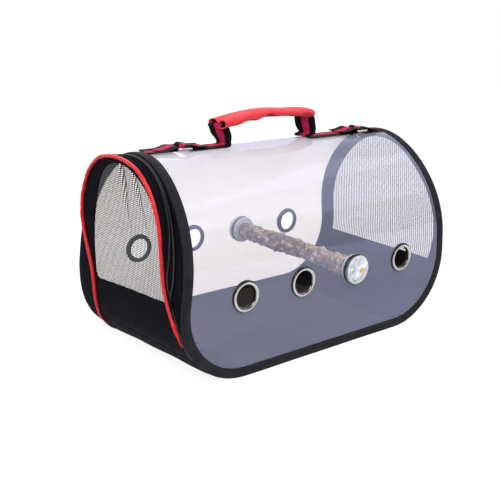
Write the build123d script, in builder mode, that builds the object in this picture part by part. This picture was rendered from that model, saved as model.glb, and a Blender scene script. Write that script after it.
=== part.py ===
"""Soft-sided bird travel carrier: a clear arched cabin between two mesh ends, with a perch and a top handle.

The frame is in millimetres. The origin is the middle of the flat underside, +X runs along the cabin
from the zipped door end to the fixed mesh end, +Y runs from the front wall to the rear wall and +Z is up.
"""
import os
from math import acos, atan2, cos, degrees, hypot, radians, sin, sqrt

from build123d import *

os.makedirs("parts", exist_ok=True)

# ---------------------------------------------------------------- driving dimensions
# Cabin
body_depth = 230.0
body_height = 250.0
wall_rise = 118.0
crown_draw = 27.0
flat_half = 130.0
corner_radius = 90.0
crown_half = 203.0
door_swell = 23.0

# Sheet goods
film = 0.8
tape = 1.0
binding_width = 12.0
seam = 3.0
panel = 2.0
mesh = 0.7
board = 3.0
liner = 1.5
gusset = 1.5
hoop_gauge = 1.2
hoop_width = 6.0

# Ends
end_start = 36.0
door_margin = 21.0
door_rise = 125.0
door_inset = 5.0
foot_flare = 13.0
foot_rise = 50.0
foot_land = 4.0
window_border = 14.0
window_sill = 92.0
fixed_border = 15.0
fixed_sill = 76.0
window_corner = 10.0
cord = 3.5
cord_inset = 6.0

# Zip
zip_chain = 3.0
slider_width = 9.0
slider_length = 12.0
slider_gauge = 1.6
slider_rest = 50.0
pull_length = 26.0
pull_width = 7.0
pull_gauge = 1.2
bail_radius = 2.4
bail_gauge = 1.2
pull_pin = 1.0

# Eyelets
eyelet_pitch = 88.0
eyelet_count = 4
eyelet_height = 98.5
eyelet_radius = 19.0
bore_radius = 13.5
barrel_gauge = 1.0
flange_rise = 2.2
flange_land = 1.2
washer_gauge = 1.6
curl = 0.6
curl_width = 1.3

# Perch
perch_index = 2
perch_radius = 12.5
knot_swell = 1.4
perch_wander = 1.3
perch_stations = 9
disc_radius = 18.5
disc_gauge = 3.0
stud_radius = 3.0
stud_depth = 25.0
disc_clearance = 0.2
nut_clearance = 0.05
hub_radius = 6.5
hub_height = 7.0
wing_reach = 15.0
wing_height = 10.0
wing_gauge = 3.0
stud_proud = 2.0

# Handle
strap_width = 30.0
strap_gauge = 1.5
handle_centre = -13.0
foot_half = 69.0
grip_half = 75.0
grip_rise = 27.0
grip_bow = 9.0
grip_width = 34.0
grip_height = 13.0
grip_wall = 1.4
ring_centre = 147.0
ring_half = 9.0
ring_wire = 1.5
ring_side = 18.5
fold_length = 13.0
stitch_length = 12.0

# Clearances
soft_gap = 0.3
touch_gap = 0.2

# ---------------------------------------------------------------- derived places
half_depth = body_depth / 2
crown_radius = half_depth - crown_draw
crown_centre = body_height - crown_radius
door_half = half_depth - door_margin
door_crown_half = crown_half + door_swell
lining = film + 2 * tape
beyond = 40.0
film_face = half_depth - tape


def tangent_angle(top_half):
    """Degrees above level of the normal of an end wall that is tangent to the bottom corner's arc."""
    across = top_half - flat_half
    up = body_height - corner_radius
    return degrees(atan2(up, across) - acos(corner_radius / hypot(across, up)))


def polar(centre, radius, angle):
    """Point at an angle in degrees on a circle."""
    return (centre[0] + radius * cos(radians(angle)), centre[1] + radius * sin(radians(angle)))


def end_x(top_half, height, inset=0.0):
    """Half length of the cabin at a height, for an end wall that reaches top_half at the crown."""
    lean = tangent_angle(top_half)
    reach = corner_radius - inset
    if height < corner_radius + reach * sin(radians(lean)):
        return flat_half + sqrt(reach**2 - (height - corner_radius) ** 2)
    rise = height - corner_radius
    return flat_half + (reach - rise * sin(radians(lean))) / cos(radians(lean))


def side_arc(half, rise, radius):
    """Centre, radius and span of the arc that is tangent to an upright wall and to the crown's arc."""
    drop = crown_centre - rise
    reach = (half**2 + drop**2 - radius**2) / (2 * (half - radius))
    return (half - reach, rise), reach, degrees(atan2(drop, reach - half))


def arch_curve(half, rise, radius, inset=0.0):
    """Right half of an arch: a side arc that starts upright, then a tighter crown arc up to the middle."""
    centre, reach, span = side_arc(half, rise, radius)
    crown = (0, crown_centre)
    shoulder = polar(centre, reach - inset, span)
    with BuildLine() as curve:
        ThreePointArc(polar(centre, reach - inset, 0), polar(centre, reach - inset, span / 2), shoulder)
        ThreePointArc(shoulder, polar(crown, radius - inset, (span + 90) / 2),
                      polar(crown, radius - inset, 90))
    return curve.line


def arch(inset, foot=0.0):
    """D-shaped cross section of the cabin: upright walls under the arch."""
    wall = half_depth - inset
    with BuildSketch() as profile:
        with BuildLine():
            Polyline((0, foot), (wall, foot), (wall, wall_rise))
            add(arch_curve(half_depth, wall_rise, crown_radius, inset))
            mirror(about=Plane.YZ)
        make_face()
    return profile.sketch


def side_view(inset, left_top=crown_half, right_top=crown_half):
    """Outline seen from the front: flat base, rounded bottom corners and leaning ends, open at the top."""
    summit = body_height + beyond
    with BuildSketch() as profile:
        for side, top_half in ((-1, left_top), (1, right_top)):
            lean = tangent_angle(top_half)
            centre = (flat_half, corner_radius)
            reach = corner_radius - inset
            low = polar(centre, reach, -90)
            bend = polar(centre, reach, (lean - 90) / 2)
            spring = polar(centre, reach, lean)
            top_x = spring[0] - (summit - spring[1]) * sin(radians(lean)) / cos(radians(lean))
            with BuildLine():
                Polyline((0, summit), (0, inset), (side * low[0], low[1]))
                ThreePointArc((side * low[0], low[1]), (side * bend[0], bend[1]),
                              (side * spring[0], spring[1]))
                Polyline((side * spring[0], spring[1]), (side * top_x, summit), (0, summit))
            make_face()
    return profile.sketch


def door_view(grow=0.0):
    """Door outline seen along the cabin: an arch on upright sides, whose feet flare and end upright."""
    half = door_half + grow
    waist = end_start + foot_land + foot_rise
    flare_radius = (foot_rise**2 + foot_flare**2) / (2 * foot_flare)
    sweep = degrees(atan2(foot_rise, flare_radius - foot_flare))
    flare_centre = (door_half + flare_radius, waist)
    foot = polar(flare_centre, flare_radius - grow, 180 + sweep)
    with BuildSketch() as profile:
        with BuildLine():
            Polyline((0, 0), (foot[0], 0), foot)
            ThreePointArc(foot, polar(flare_centre, flare_radius - grow, 180 + sweep / 2), (half, waist))
            Line((half, waist), (half, door_rise))
            add(arch_curve(door_half, door_rise, crown_radius - door_inset, -grow))
            mirror(about=Plane.YZ)
        make_face()
    return profile.sketch


def window_view(outline, border, sill):
    """Window opening: an outline drawn in by a border, cut level at its sill, with eased lower corners."""
    with BuildSketch() as profile:
        add(outline)
        offset(amount=-border, kind=Kind.INTERSECTION)
        with Locations((0, sill - body_height)):
            Rectangle(2 * body_depth, 2 * body_height, mode=Mode.SUBTRACT)
        fillet(profile.vertices().group_by(Axis.Y)[0], window_corner)
    return profile.sketch


def layer_view(outer, inner):
    """Region between two side views: the section of a skin that follows the base and the ends."""
    with BuildSketch() as profile:
        add(outer)
        add(inner, mode=Mode.SUBTRACT)
    return profile.sketch


def block_view(low_x, high_x, low_z, high_z):
    """Rectangle between two limits across and two limits up."""
    with BuildSketch() as profile:
        with Locations(((low_x + high_x) / 2, (low_z + high_z) / 2)):
            Rectangle(high_x - low_x, high_z - low_z)
    return profile.sketch


def end_view(height, side):
    """Everything above a height at one end of the cabin."""
    far = door_crown_half + beyond
    return block_view(min(0, side * far), max(0, side * far), height, body_height + 2 * beyond)


def along_cabin(sketch, mode=Mode.ADD):
    """Stand a cross section upright, facing along the cabin, and extrude it over the whole length."""
    with BuildSketch(Plane.YZ) as section:
        add(sketch)
    extrude(section.sketch, amount=door_crown_half + beyond, both=True, mode=mode)


def across_cabin(sketch, mode=Mode.INTERSECT):
    """Stand a side view upright, facing the front, and extrude it over the whole depth of the cabin."""
    with BuildSketch(Plane.XZ) as section:
        add(sketch)
    extrude(section.sketch, amount=body_depth, both=True, mode=mode)


# ---------------------------------------------------------------- clear sheet
eyelets = [(index - (eyelet_count - 1) / 2) * eyelet_pitch for index in range(eyelet_count)]

with BuildPart() as clear_sheet:
    along_cabin(arch(tape))
    along_cabin(arch(tape + film, -beyond), mode=Mode.SUBTRACT)
    across_cabin(side_view(seam))
    with BuildSketch(Plane.XZ):
        with Locations([(x, eyelet_height) for x in eyelets]):
            Circle(bore_radius + barrel_gauge)
    extrude(amount=body_depth, both=True, mode=Mode.SUBTRACT)

for name, low_y, high_y, low_z, high_z in (
    ("clear_roof", -half_depth, half_depth, wall_rise, body_height),
    ("front_window", -half_depth, 0, 0, wall_rise),
    ("rear_window", 0, half_depth, 0, wall_rise),
):
    with BuildPart() as window:
        add(clear_sheet.part)
        along_cabin(block_view(low_y, high_y, low_z, high_z), mode=Mode.INTERSECT)
    window.part.label = name
    export_step(window.part, f"parts/{name}.step")

# ---------------------------------------------------------------- edge binding, folded over the sheet's rim
with BuildPart() as binding:
    along_cabin(arch(0))
    along_cabin(arch(lining, -beyond), mode=Mode.SUBTRACT)
    across_cabin(layer_view(side_view(0), side_view(binding_width)))
    add(clear_sheet.part, mode=Mode.SUBTRACT)

for name, low, high, front, rear in (
    ("left_binding", -2 * crown_half, -flat_half, -1, 1),
    ("right_binding", flat_half, 2 * crown_half, -1, 1),
    ("front_binding", -flat_half, flat_half, -1, 0),
    ("rear_binding", -flat_half, flat_half, 0, 1),
):
    with BuildPart() as strip:
        add(binding.part)
        with BuildSketch(Plane.XY):
            with Locations(((low + high) / 2, (front + rear) * body_depth / 2)):
                Rectangle(high - low, (rear - front) * body_depth)
        extrude(amount=2 * body_height, mode=Mode.INTERSECT)
    strip.part.label = name
    export_step(strip.part, f"parts/{name}.step")

# ---------------------------------------------------------------- base
with BuildPart() as base_fabric:
    along_cabin(arch(lining))
    across_cabin(layer_view(side_view(0), side_view(panel)))
    across_cabin(block_view(-2 * crown_half, 2 * crown_half, 0, end_start))
base_fabric.part.label = "base_fabric"
export_step(base_fabric.part, "parts/base_fabric.step")

with BuildPart() as base_board:
    with BuildSketch(Plane.XY.offset(panel)):
        RectangleRounded(2 * flat_half, body_depth - 2 * (lining + touch_gap), window_corner)
    extrude(amount=board)
base_board.part.label = "base_board"
export_step(base_board.part, "parts/base_board.step")

with BuildPart() as floor_liner:
    with BuildSketch(Plane.XY.offset(panel + board)):
        RectangleRounded(2 * flat_half, body_depth - 2 * (lining + touch_gap), window_corner)
    extrude(amount=liner)
floor_liner.part.label = "floor_liner"
export_step(floor_liner.part, "parts/floor_liner.step")

# ---------------------------------------------------------------- hoops that hold the arch open
for side, name in ((-1, "left_hoop"), (1, "right_hoop")):
    with BuildPart() as hoop:
        along_cabin(arch(lining))
        along_cabin(arch(lining + hoop_gauge, -beyond), mode=Mode.SUBTRACT)
        across_cabin(layer_view(side_view(panel + touch_gap), side_view(panel + touch_gap + hoop_width)))
        across_cabin(end_view(end_start, side))
    hoop.part.label = name
    export_step(hoop.part, f"parts/{name}.step")

# ---------------------------------------------------------------- fixed mesh end
fixed_window = window_view(arch(0), fixed_border, fixed_sill)

with BuildPart() as right_panel:
    along_cabin(arch(lining))
    across_cabin(layer_view(side_view(0), side_view(panel)))
    across_cabin(end_view(end_start, 1))
    along_cabin(fixed_window, mode=Mode.SUBTRACT)
right_panel.part.label = "right_panel"
export_step(right_panel.part, "parts/right_panel.step")

with BuildPart() as right_mesh:
    along_cabin(fixed_window)
    across_cabin(layer_view(side_view((panel - mesh) / 2), side_view((panel + mesh) / 2)))
    across_cabin(end_view(end_start, 1))
right_mesh.part.label = "right_mesh"
export_step(right_mesh.part, "parts/right_mesh.step")

with BuildPart() as right_piping:
    along_cabin(arch(cord_inset))
    along_cabin(arch(cord_inset + cord, -beyond), mode=Mode.SUBTRACT)
    across_cabin(layer_view(side_view(-cord), side_view(0)))
    across_cabin(end_view(end_start, 1))
right_piping.part.label = "right_piping"
export_step(right_piping.part, "parts/right_piping.step")

# ---------------------------------------------------------------- door frame and its half of the zip
with BuildPart() as left_frame:
    along_cabin(arch(lining))
    along_cabin(door_view(soft_gap), mode=Mode.SUBTRACT)
    across_cabin(layer_view(side_view(0), side_view(panel)))
    across_cabin(end_view(end_start, -1))
left_frame.part.label = "left_frame"
export_step(left_frame.part, "parts/left_frame.step")

with BuildPart() as frame_zip:
    along_cabin(door_view(soft_gap + zip_chain))
    along_cabin(door_view(soft_gap), mode=Mode.SUBTRACT)
    across_cabin(layer_view(side_view(-zip_chain), side_view(0)))
    across_cabin(end_view(end_start, -1))
    along_cabin(arch(lining), mode=Mode.INTERSECT)
frame_zip.part.label = "frame_zip"
export_step(frame_zip.part, "parts/frame_zip.step")

# ---------------------------------------------------------------- door, hinged along its lower edge
door_bottom = end_start + soft_gap
door_waist = door_bottom + foot_land + foot_rise
door_outside = side_view(0, left_top=door_crown_half)
door_inside = side_view(panel, left_top=door_crown_half)
door_window = window_view(door_view(), window_border, window_sill)

with BuildPart() as door_panel:
    along_cabin(door_view())
    across_cabin(layer_view(door_outside, door_inside))
    across_cabin(end_view(door_bottom, -1))
    along_cabin(door_window, mode=Mode.SUBTRACT)
door_panel.part.label = "door_panel"
export_step(door_panel.part, "parts/door_panel.step")

with BuildPart() as door_mesh:
    along_cabin(door_window)
    outer_face = side_view((panel - mesh) / 2, left_top=door_crown_half)
    inner_face = side_view((panel + mesh) / 2, left_top=door_crown_half)
    across_cabin(layer_view(outer_face, inner_face))
    across_cabin(end_view(door_bottom, -1))
door_mesh.part.label = "door_mesh"
export_step(door_mesh.part, "parts/door_mesh.step")

with BuildPart() as door_piping:
    along_cabin(door_view())
    along_cabin(door_view(-cord), mode=Mode.SUBTRACT)
    across_cabin(layer_view(side_view(-cord, left_top=door_crown_half), door_outside))
    across_cabin(end_view(door_bottom, -1))
door_piping.part.label = "door_piping"
export_step(door_piping.part, "parts/door_piping.step")

with BuildPart() as door_gusset:
    along_cabin(door_view())
    along_cabin(door_view(-gusset), mode=Mode.SUBTRACT)
    across_cabin(layer_view(door_inside, side_view(-soft_gap)))
    across_cabin(end_view(door_waist, -1))
door_gusset.part.label = "door_gusset"
export_step(door_gusset.part, "parts/door_gusset.step")

with BuildPart() as door_zip:
    along_cabin(door_view(tape))
    along_cabin(door_view(), mode=Mode.SUBTRACT)
    across_cabin(layer_view(side_view(-2 * zip_chain - soft_gap), side_view(-zip_chain - soft_gap)))
    across_cabin(door_inside)
    across_cabin(end_view(door_waist, -1))
door_zip.part.label = "door_zip"
export_step(door_zip.part, "parts/door_zip.step")

# ---------------------------------------------------------------- zip slider and its pull
end_lean = tangent_angle(crown_half)
zip_normal = (-cos(radians(end_lean)), 0, sin(radians(end_lean)))
zip_uphill = (sin(radians(end_lean)), 0, cos(radians(end_lean)))
zip_centre = (-end_x(crown_half, crown_centre), 0, crown_centre)
slider_floor = crown_radius - door_inset + zip_chain + 4 * soft_gap
slider_middle = soft_gap + slider_width / 2
zip_plane = Plane(origin=zip_centre, x_dir=zip_uphill, z_dir=zip_normal)
slider_turn = zip_plane.location * Location((0, 0, slider_middle), (0, 0, slider_rest))
slider_side = Plane(slider_turn * Location((slider_floor, 0, 0)))
slider_top = Plane(origin=slider_side.origin, x_dir=slider_side.y_dir, z_dir=slider_side.x_dir)
pin_height = slider_gauge + pull_pin + touch_gap
bail_width = pull_width / 3

with BuildPart() as zip_slider:
    with BuildSketch(slider_top):
        RectangleRounded(slider_length, slider_width, slider_width / 4)
    extrude(amount=slider_gauge)
    with BuildSketch(slider_side):
        with Locations((slider_gauge, 0)):
            Circle(bail_radius + bail_gauge)
            Circle(bail_radius, mode=Mode.SUBTRACT)
        with Locations((slider_gauge - 2 * bail_radius, 0)):
            Rectangle(4 * bail_radius, 4 * bail_radius, mode=Mode.SUBTRACT)
    extrude(amount=bail_width / 2, both=True)
zip_slider.part.label = "zip_slider"
export_step(zip_slider.part, "parts/zip_slider.step")

with BuildPart() as zip_pull:
    with BuildSketch(slider_top.offset(pin_height - pull_gauge / 2)):
        with Locations(((pull_length - pull_pin) / 2, 0)):
            SlotOverall(pull_length + pull_pin, pull_width)
        with Locations((bail_radius, 0)):
            Rectangle(3 * bail_radius, bail_width + 2 * soft_gap, mode=Mode.SUBTRACT)
        with Locations((-pull_width / 2, 0)):
            Rectangle(pull_width, pull_width, mode=Mode.SUBTRACT)
        with Locations((pull_length - pull_width, 0)):
            SlotOverall(pull_width, pull_width / 3, mode=Mode.SUBTRACT)
    extrude(amount=pull_gauge)
    with BuildSketch(slider_side):
        with Locations((pin_height, 0)):
            Circle(pull_pin)
    extrude(amount=pull_width / 2, both=True)
zip_pull.part.label = "zip_pull"
export_step(zip_pull.part, "parts/zip_pull.step")


# ---------------------------------------------------------------- eyelets along both walls
def wall_place(side, x):
    """Place on a wall's outer film face at an eyelet, with local Z pointing out of the cabin."""
    origin = (x, side * film_face, eyelet_height)
    return Plane(origin=origin, x_dir=(1, 0, 0), z_dir=(0, side, 0)).location


def turned(profile):
    """Turn a half section, drawn as radius and height, into a solid about its own centre line."""
    with BuildPart() as solid:
        with BuildSketch(Plane.XZ) as section:
            add(profile)
        revolve(section.sketch, axis=Axis.Z)
    return solid.part


def ring_section(inner, outer, low, high):
    """Rectangular half section of a plain ring."""
    return block_view(inner, outer, low, high)


shank = bore_radius + barrel_gauge
seat = film + washer_gauge
flange_middle = (bore_radius + eyelet_radius) / 2

with BuildSketch() as eyelet_section:
    with BuildLine():
        Polyline((eyelet_radius, 0), (shank, 0), (shank, -seat), (shank + curl_width, -seat),
                 (shank + curl_width, -seat - curl), (bore_radius, -seat - curl), (bore_radius, 0),
                 (flange_middle - flange_land, flange_rise), (flange_middle + flange_land, flange_rise),
                 (eyelet_radius, 0))
    make_face()

eyelet_body = turned(eyelet_section.sketch)
washer_body = turned(ring_section(shank, eyelet_radius, -seat, -film))

for side, wall in ((-1, "front"), (1, "rear")):
    for number, x in enumerate(eyelets, start=1):
        with BuildPart() as eyelet:
            with Locations(wall_place(side, x)):
                add(eyelet_body)
        eyelet.part.label = f"{wall}_eyelet_{number}"
        export_step(eyelet.part, f"parts/{wall}_eyelet_{number}.step")
        with BuildPart() as washer:
            with Locations(wall_place(side, x)):
                add(washer_body)
        washer.part.label = f"{wall}_washer_{number}"
        export_step(washer.part, f"parts/{wall}_washer_{number}.step")

# ---------------------------------------------------------------- perch, clamped through one pair of eyelets
perch_x = eyelets[perch_index]
inner_seat = -seat - curl
branch_end = inner_seat - disc_gauge
nut_seat = flange_rise + disc_gauge + nut_clearance
branch_half = film_face + branch_end

with BuildPart() as perch_branch:
    for station in range(perch_stations):
        along = station / (perch_stations - 1)
        bulge = knot_swell * sin(radians(150 * station))
        taper = sin(radians(180 * along))
        sway = perch_wander * taper * cos(radians(110 * station))
        heave = perch_wander * taper * sin(radians(75 * station))
        with BuildSketch(Plane.XZ.offset(branch_half * (1 - 2 * along))):
            with Locations((perch_x + sway, eyelet_height + heave)):
                Circle(perch_radius + bulge)
    loft(ruled=True)
    for side in (-1, 1):
        with Locations(wall_place(side, perch_x) * Location((0, 0, branch_end - stud_depth / 2))):
            Cylinder(stud_radius, stud_depth, mode=Mode.SUBTRACT)
perch_branch.part.label = "perch_branch"
export_step(perch_branch.part, "parts/perch_branch.step")

with BuildSketch() as wing_section:
    with BuildLine():
        Polyline((0, 0.1 * hub_height), (0.6 * wing_reach, 0.1 * hub_height), (wing_reach, 0.6 * wing_height),
                 (wing_reach, wing_height), (0.7 * wing_reach, wing_height), (0, 0.6 * hub_height),
                 (0, 0.1 * hub_height))
    make_face()
    fillet(wing_section.vertices().group_by(Axis.X)[-1], wing_gauge / 2)
    mirror(about=Plane.YZ)

with BuildPart() as nut_body:
    add(turned(ring_section(0, hub_radius, 0, hub_height)))
    with BuildSketch(Plane.XZ):
        add(wing_section.sketch)
    extrude(amount=wing_gauge / 2, both=True)
    with BuildSketch(Plane.XY.offset(-hub_height)):
        Circle(stud_radius + nut_clearance)
    extrude(amount=3 * hub_height, mode=Mode.SUBTRACT)

stud_tip = nut_seat + hub_height + stud_proud
stud_body = turned(ring_section(0, stud_radius, branch_end - stud_depth, stud_tip))
disc_bore = stud_radius + disc_clearance
inner_disc_body = turned(ring_section(disc_bore, disc_radius, branch_end, inner_seat))
outer_disc_body = turned(ring_section(disc_bore, disc_radius, flange_rise, flange_rise + disc_gauge))

for side, wall in ((-1, "front"), (1, "rear")):
    for name, body, height in (
        ("stud", stud_body, 0),
        ("inner_disc", inner_disc_body, 0),
        ("outer_disc", outer_disc_body, 0),
        ("wing_nut", nut_body.part, nut_seat),
    ):
        with BuildPart() as fitting:
            with Locations(wall_place(side, perch_x) * Location((0, 0, height))):
                add(body)
        fitting.part.label = f"{wall}_{name}"
        export_step(fitting.part, f"parts/{wall}_{name}.step")

# ---------------------------------------------------------------- webbing, rings and handle
strap_floor = body_height - tape
strap_top = strap_floor + strap_gauge
ring_height = strap_top + ring_wire + touch_gap
loop_radius = ring_wire + touch_gap


def loop_view(bar, reach, fold):
    """Strap seen from the front: looped round a ring bar, folded back over itself and sewn down."""
    toward = 1 if reach > bar else -1
    knee = bar + toward * fold_length
    with BuildSketch() as profile:
        with Locations((bar, ring_height)):
            Circle(loop_radius + strap_gauge)
        with BuildLine():
            Polyline((bar, ring_height + loop_radius + strap_gauge), (knee, strap_top + strap_gauge),
                     (fold, strap_top + strap_gauge), (fold, strap_top), (reach, strap_top),
                     (reach, strap_floor), (bar, strap_floor),
                     (bar, ring_height + loop_radius + strap_gauge))
        make_face()
        with Locations((bar, ring_height)):
            Circle(loop_radius, mode=Mode.SUBTRACT)
        with BuildLine():
            Polyline((bar, ring_height + loop_radius), (knee, strap_top), (bar, strap_top),
                     (bar, ring_height + loop_radius))
        make_face(mode=Mode.SUBTRACT)
    return profile.sketch


def strap_from(sketch):
    """Strap of full width whose section, seen from the front, is the sketch."""
    with BuildPart() as strap:
        with BuildSketch(Plane.XZ) as section:
            add(sketch)
        extrude(section.sketch, amount=strap_width / 2, both=True)
    return strap.part


binding_edge = end_x(crown_half, body_height, binding_width)

for side, hand in ((-1, "left"), (1, "right")):
    outer_bar = side * (ring_centre + ring_half)
    inner_bar = side * (ring_centre - ring_half)
    foot = handle_centre + side * (foot_half - strap_gauge)
    sewn = inner_bar - side * (fold_length + stitch_length)
    with BuildPart() as tab:
        add(strap_from(loop_view(outer_bar, side * binding_edge, side * (binding_edge - stitch_length))))
    tab.part.label = f"{hand}_tab"
    export_step(tab.part, f"parts/{hand}_tab.step")
    with BuildPart() as top_strap:
        add(strap_from(loop_view(inner_bar, foot, sewn)))
    top_strap.part.label = f"{hand}_strap"
    export_step(top_strap.part, f"parts/{hand}_strap.step")
    with BuildPart() as ring:
        with BuildLine(Plane.XY.offset(ring_height)) as wire:
            Polyline((side * ring_centre, -ring_side), (outer_bar, -ring_side), (outer_bar, ring_side),
                     (side * ring_centre, ring_side))
        with BuildSketch(Plane(origin=wire.line @ 0, z_dir=wire.line % 0)):
            Circle(ring_wire)
        sweep(path=wire.line, transition=Transition.RIGHT)
        mirror(about=Plane.YZ.offset(side * ring_centre))
    ring.part.label = f"{hand}_ring"
    export_step(ring.part, f"parts/{hand}_ring.step")

hinge_height = strap_top + soft_gap + strap_width / 2
grip_level = strap_top + grip_rise
bow_radius = (grip_half**2 + grip_bow**2) / (2 * grip_bow)
bow_centre = (handle_centre, grip_level + grip_bow - bow_radius)
bow_span = degrees(atan2(grip_half, bow_radius - grip_bow))
turn_half = grip_half + touch_gap


def bow_curve(radius, half_angle):
    """Arc of the handle's bow, from the door end to the fixed end."""
    with BuildLine(Plane.XZ) as curve:
        ThreePointArc(polar(bow_centre, radius, 90 + half_angle), polar(bow_centre, radius, 90),
                      polar(bow_centre, radius, 90 - half_angle))
    return curve.line


with BuildPart() as handle_web:
    with BuildSketch(Plane.XZ):
        with Locations(bow_centre):
            Circle(bow_radius + strap_gauge / 2)
            Circle(bow_radius - strap_gauge / 2, mode=Mode.SUBTRACT)
        with Locations((handle_centre, grip_level + bow_radius)):
            Rectangle(2 * turn_half + strap_gauge, 2 * bow_radius + strap_gauge, mode=Mode.INTERSECT)
        for side in (-1, 1):
            turn_x = handle_centre + side * turn_half
            foot_x = handle_centre + side * foot_half
            with BuildLine():
                Polyline((turn_x, grip_level), (turn_x + side * strap_gauge, grip_level),
                         (foot_x + side * strap_gauge, strap_top), (foot_x, strap_top), (turn_x, grip_level))
            make_face()
    extrude(amount=strap_width / 2, both=True)
    with BuildSketch(Plane.YZ):
        with Locations((0, hinge_height)):
            Circle(strap_width / 2)
        with Locations((0, hinge_height + body_height / 2)):
            Rectangle(strap_width, body_height)
    extrude(amount=2 * crown_half, both=True, mode=Mode.INTERSECT)
handle_web.part.label = "handle_web"
export_step(handle_web.part, "parts/handle_web.step")

with BuildPart() as grip:
    bow = bow_curve(bow_radius, bow_span)
    with BuildSketch(Plane(origin=bow @ 0, x_dir=(0, 1, 0), z_dir=bow % 0)):
        SlotOverall(grip_width, grip_height)
        SlotOverall(grip_width - 2 * grip_wall, grip_height - 2 * grip_wall, mode=Mode.SUBTRACT)
    sweep(path=bow)
grip.part.label = "grip"
export_step(grip.part, "parts/grip.step")

with BuildPart() as grip_foam:
    core = bow_curve(bow_radius, bow_span * (1 - grip_height / grip_half))
    with BuildSketch(Plane(origin=core @ 0, x_dir=(0, 1, 0), z_dir=core % 0)):
        SlotOverall(grip_width - 2 * grip_wall, grip_height - 2 * grip_wall)
        with Locations((0, (strap_gauge - grip_height) / 2)):
            Rectangle(grip_width, grip_height, mode=Mode.SUBTRACT)
    sweep(path=core)
grip_foam.part.label = "grip_foam"
export_step(grip_foam.part, "parts/grip_foam.step")
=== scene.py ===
# %% [markdown]
# A soft bird carrier: a clear PVC sheet arched over a black cloth floor, edged with folded tape, with a net
# door that leans out at one end, a fixed net panel at the other, a branch clamped across the cabin and a
# webbing handle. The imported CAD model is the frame, and every soft piece here is laid over its own solid.

# %% Load the frame
import bmesh
import bpy
import numpy as np
from mathutils import Matrix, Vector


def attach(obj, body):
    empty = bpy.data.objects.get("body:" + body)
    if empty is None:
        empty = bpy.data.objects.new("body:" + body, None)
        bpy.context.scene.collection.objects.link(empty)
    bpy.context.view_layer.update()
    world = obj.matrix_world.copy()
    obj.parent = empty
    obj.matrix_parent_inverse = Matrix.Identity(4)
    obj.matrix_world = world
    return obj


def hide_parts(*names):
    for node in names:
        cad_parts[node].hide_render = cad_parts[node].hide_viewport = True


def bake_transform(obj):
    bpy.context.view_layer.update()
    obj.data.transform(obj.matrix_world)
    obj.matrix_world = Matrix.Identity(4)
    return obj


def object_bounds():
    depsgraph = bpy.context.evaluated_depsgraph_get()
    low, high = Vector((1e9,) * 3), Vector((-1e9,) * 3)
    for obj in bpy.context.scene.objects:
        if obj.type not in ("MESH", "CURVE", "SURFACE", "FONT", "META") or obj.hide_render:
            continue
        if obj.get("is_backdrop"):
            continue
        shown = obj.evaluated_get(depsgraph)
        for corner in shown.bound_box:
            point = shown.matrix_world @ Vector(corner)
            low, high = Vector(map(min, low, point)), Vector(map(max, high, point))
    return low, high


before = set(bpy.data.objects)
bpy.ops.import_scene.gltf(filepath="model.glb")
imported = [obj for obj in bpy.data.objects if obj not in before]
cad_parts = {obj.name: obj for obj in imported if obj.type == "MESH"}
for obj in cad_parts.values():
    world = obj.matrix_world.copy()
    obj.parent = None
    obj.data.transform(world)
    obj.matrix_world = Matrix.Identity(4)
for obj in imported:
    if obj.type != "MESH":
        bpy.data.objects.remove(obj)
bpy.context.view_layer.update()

# %% [markdown]
# Colours are picked as sRGB hex values, as on a paint chart, but shaders add light in linear values. One
# function does the change. One more adds any shader node with its settings and links, so each material
# below reads as a list of what it is made of.

# %% Colour and node helpers
def tone(code, alpha=1.0):
    """sRGB hex to linear: each channel c is c / 12.92 when dark, and ((c + 0.055) / 1.055) to the power 2.4 above."""
    c = np.array([int(code[i:i + 2], 16) for i in (0, 2, 4)]) / 255
    return (*np.where(c <= 0.04045, c / 12.92, ((c + 0.055) / 1.055) ** 2.4).tolist(), alpha)


def put(tree, kind, sockets=None, **settings):
    """Add a shader node; settings are its own fields, sockets its inputs, each a value or another node's output."""
    made = tree.nodes.new("ShaderNode" + kind)
    for field, value in settings.items():
        setattr(made, field, value)
    for key, value in (sockets or {}).items():
        if isinstance(value, bpy.types.NodeSocket):
            tree.links.new(value, made.inputs[key])
        else:
            made.inputs[key].default_value = value
    return made


def start(name):
    """A new material's tree with nothing in it but its output node."""
    material = bpy.data.materials.new(name)
    material.use_nodes = True
    material.node_tree.nodes.clear()
    return material, material.node_tree, material.node_tree.nodes.new("ShaderNodeOutputMaterial")


print("lit red piping, linear:", [round(c, 3) for c in tone("eb2328")])

# %% [markdown]
# Every new surface here is a grid of points worked out as one numpy array of rows and columns. One helper
# turns it into a mesh: it joins the grid into quads, closes it round where asked, turns its faces
# outwards, stores a UV map in millimetres so that weave keeps its real size, and rides it on its body.

# %% Grid to mesh
def quads(rows, columns, loop_rows, loop_columns):
    """Corner numbers of each quad of a grid, and the same corners before the last row or column joins the first."""
    i, j = np.meshgrid(np.arange(rows - (not loop_rows)), np.arange(columns - (not loop_columns)), indexing="ij")
    ci, cj = np.stack([i, i + 1, i + 1, i], -1).reshape(-1, 4), np.stack([j, j, j + 1, j + 1], -1).reshape(-1, 4)
    return (ci % rows) * columns + cj % columns, ci, cj


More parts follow.
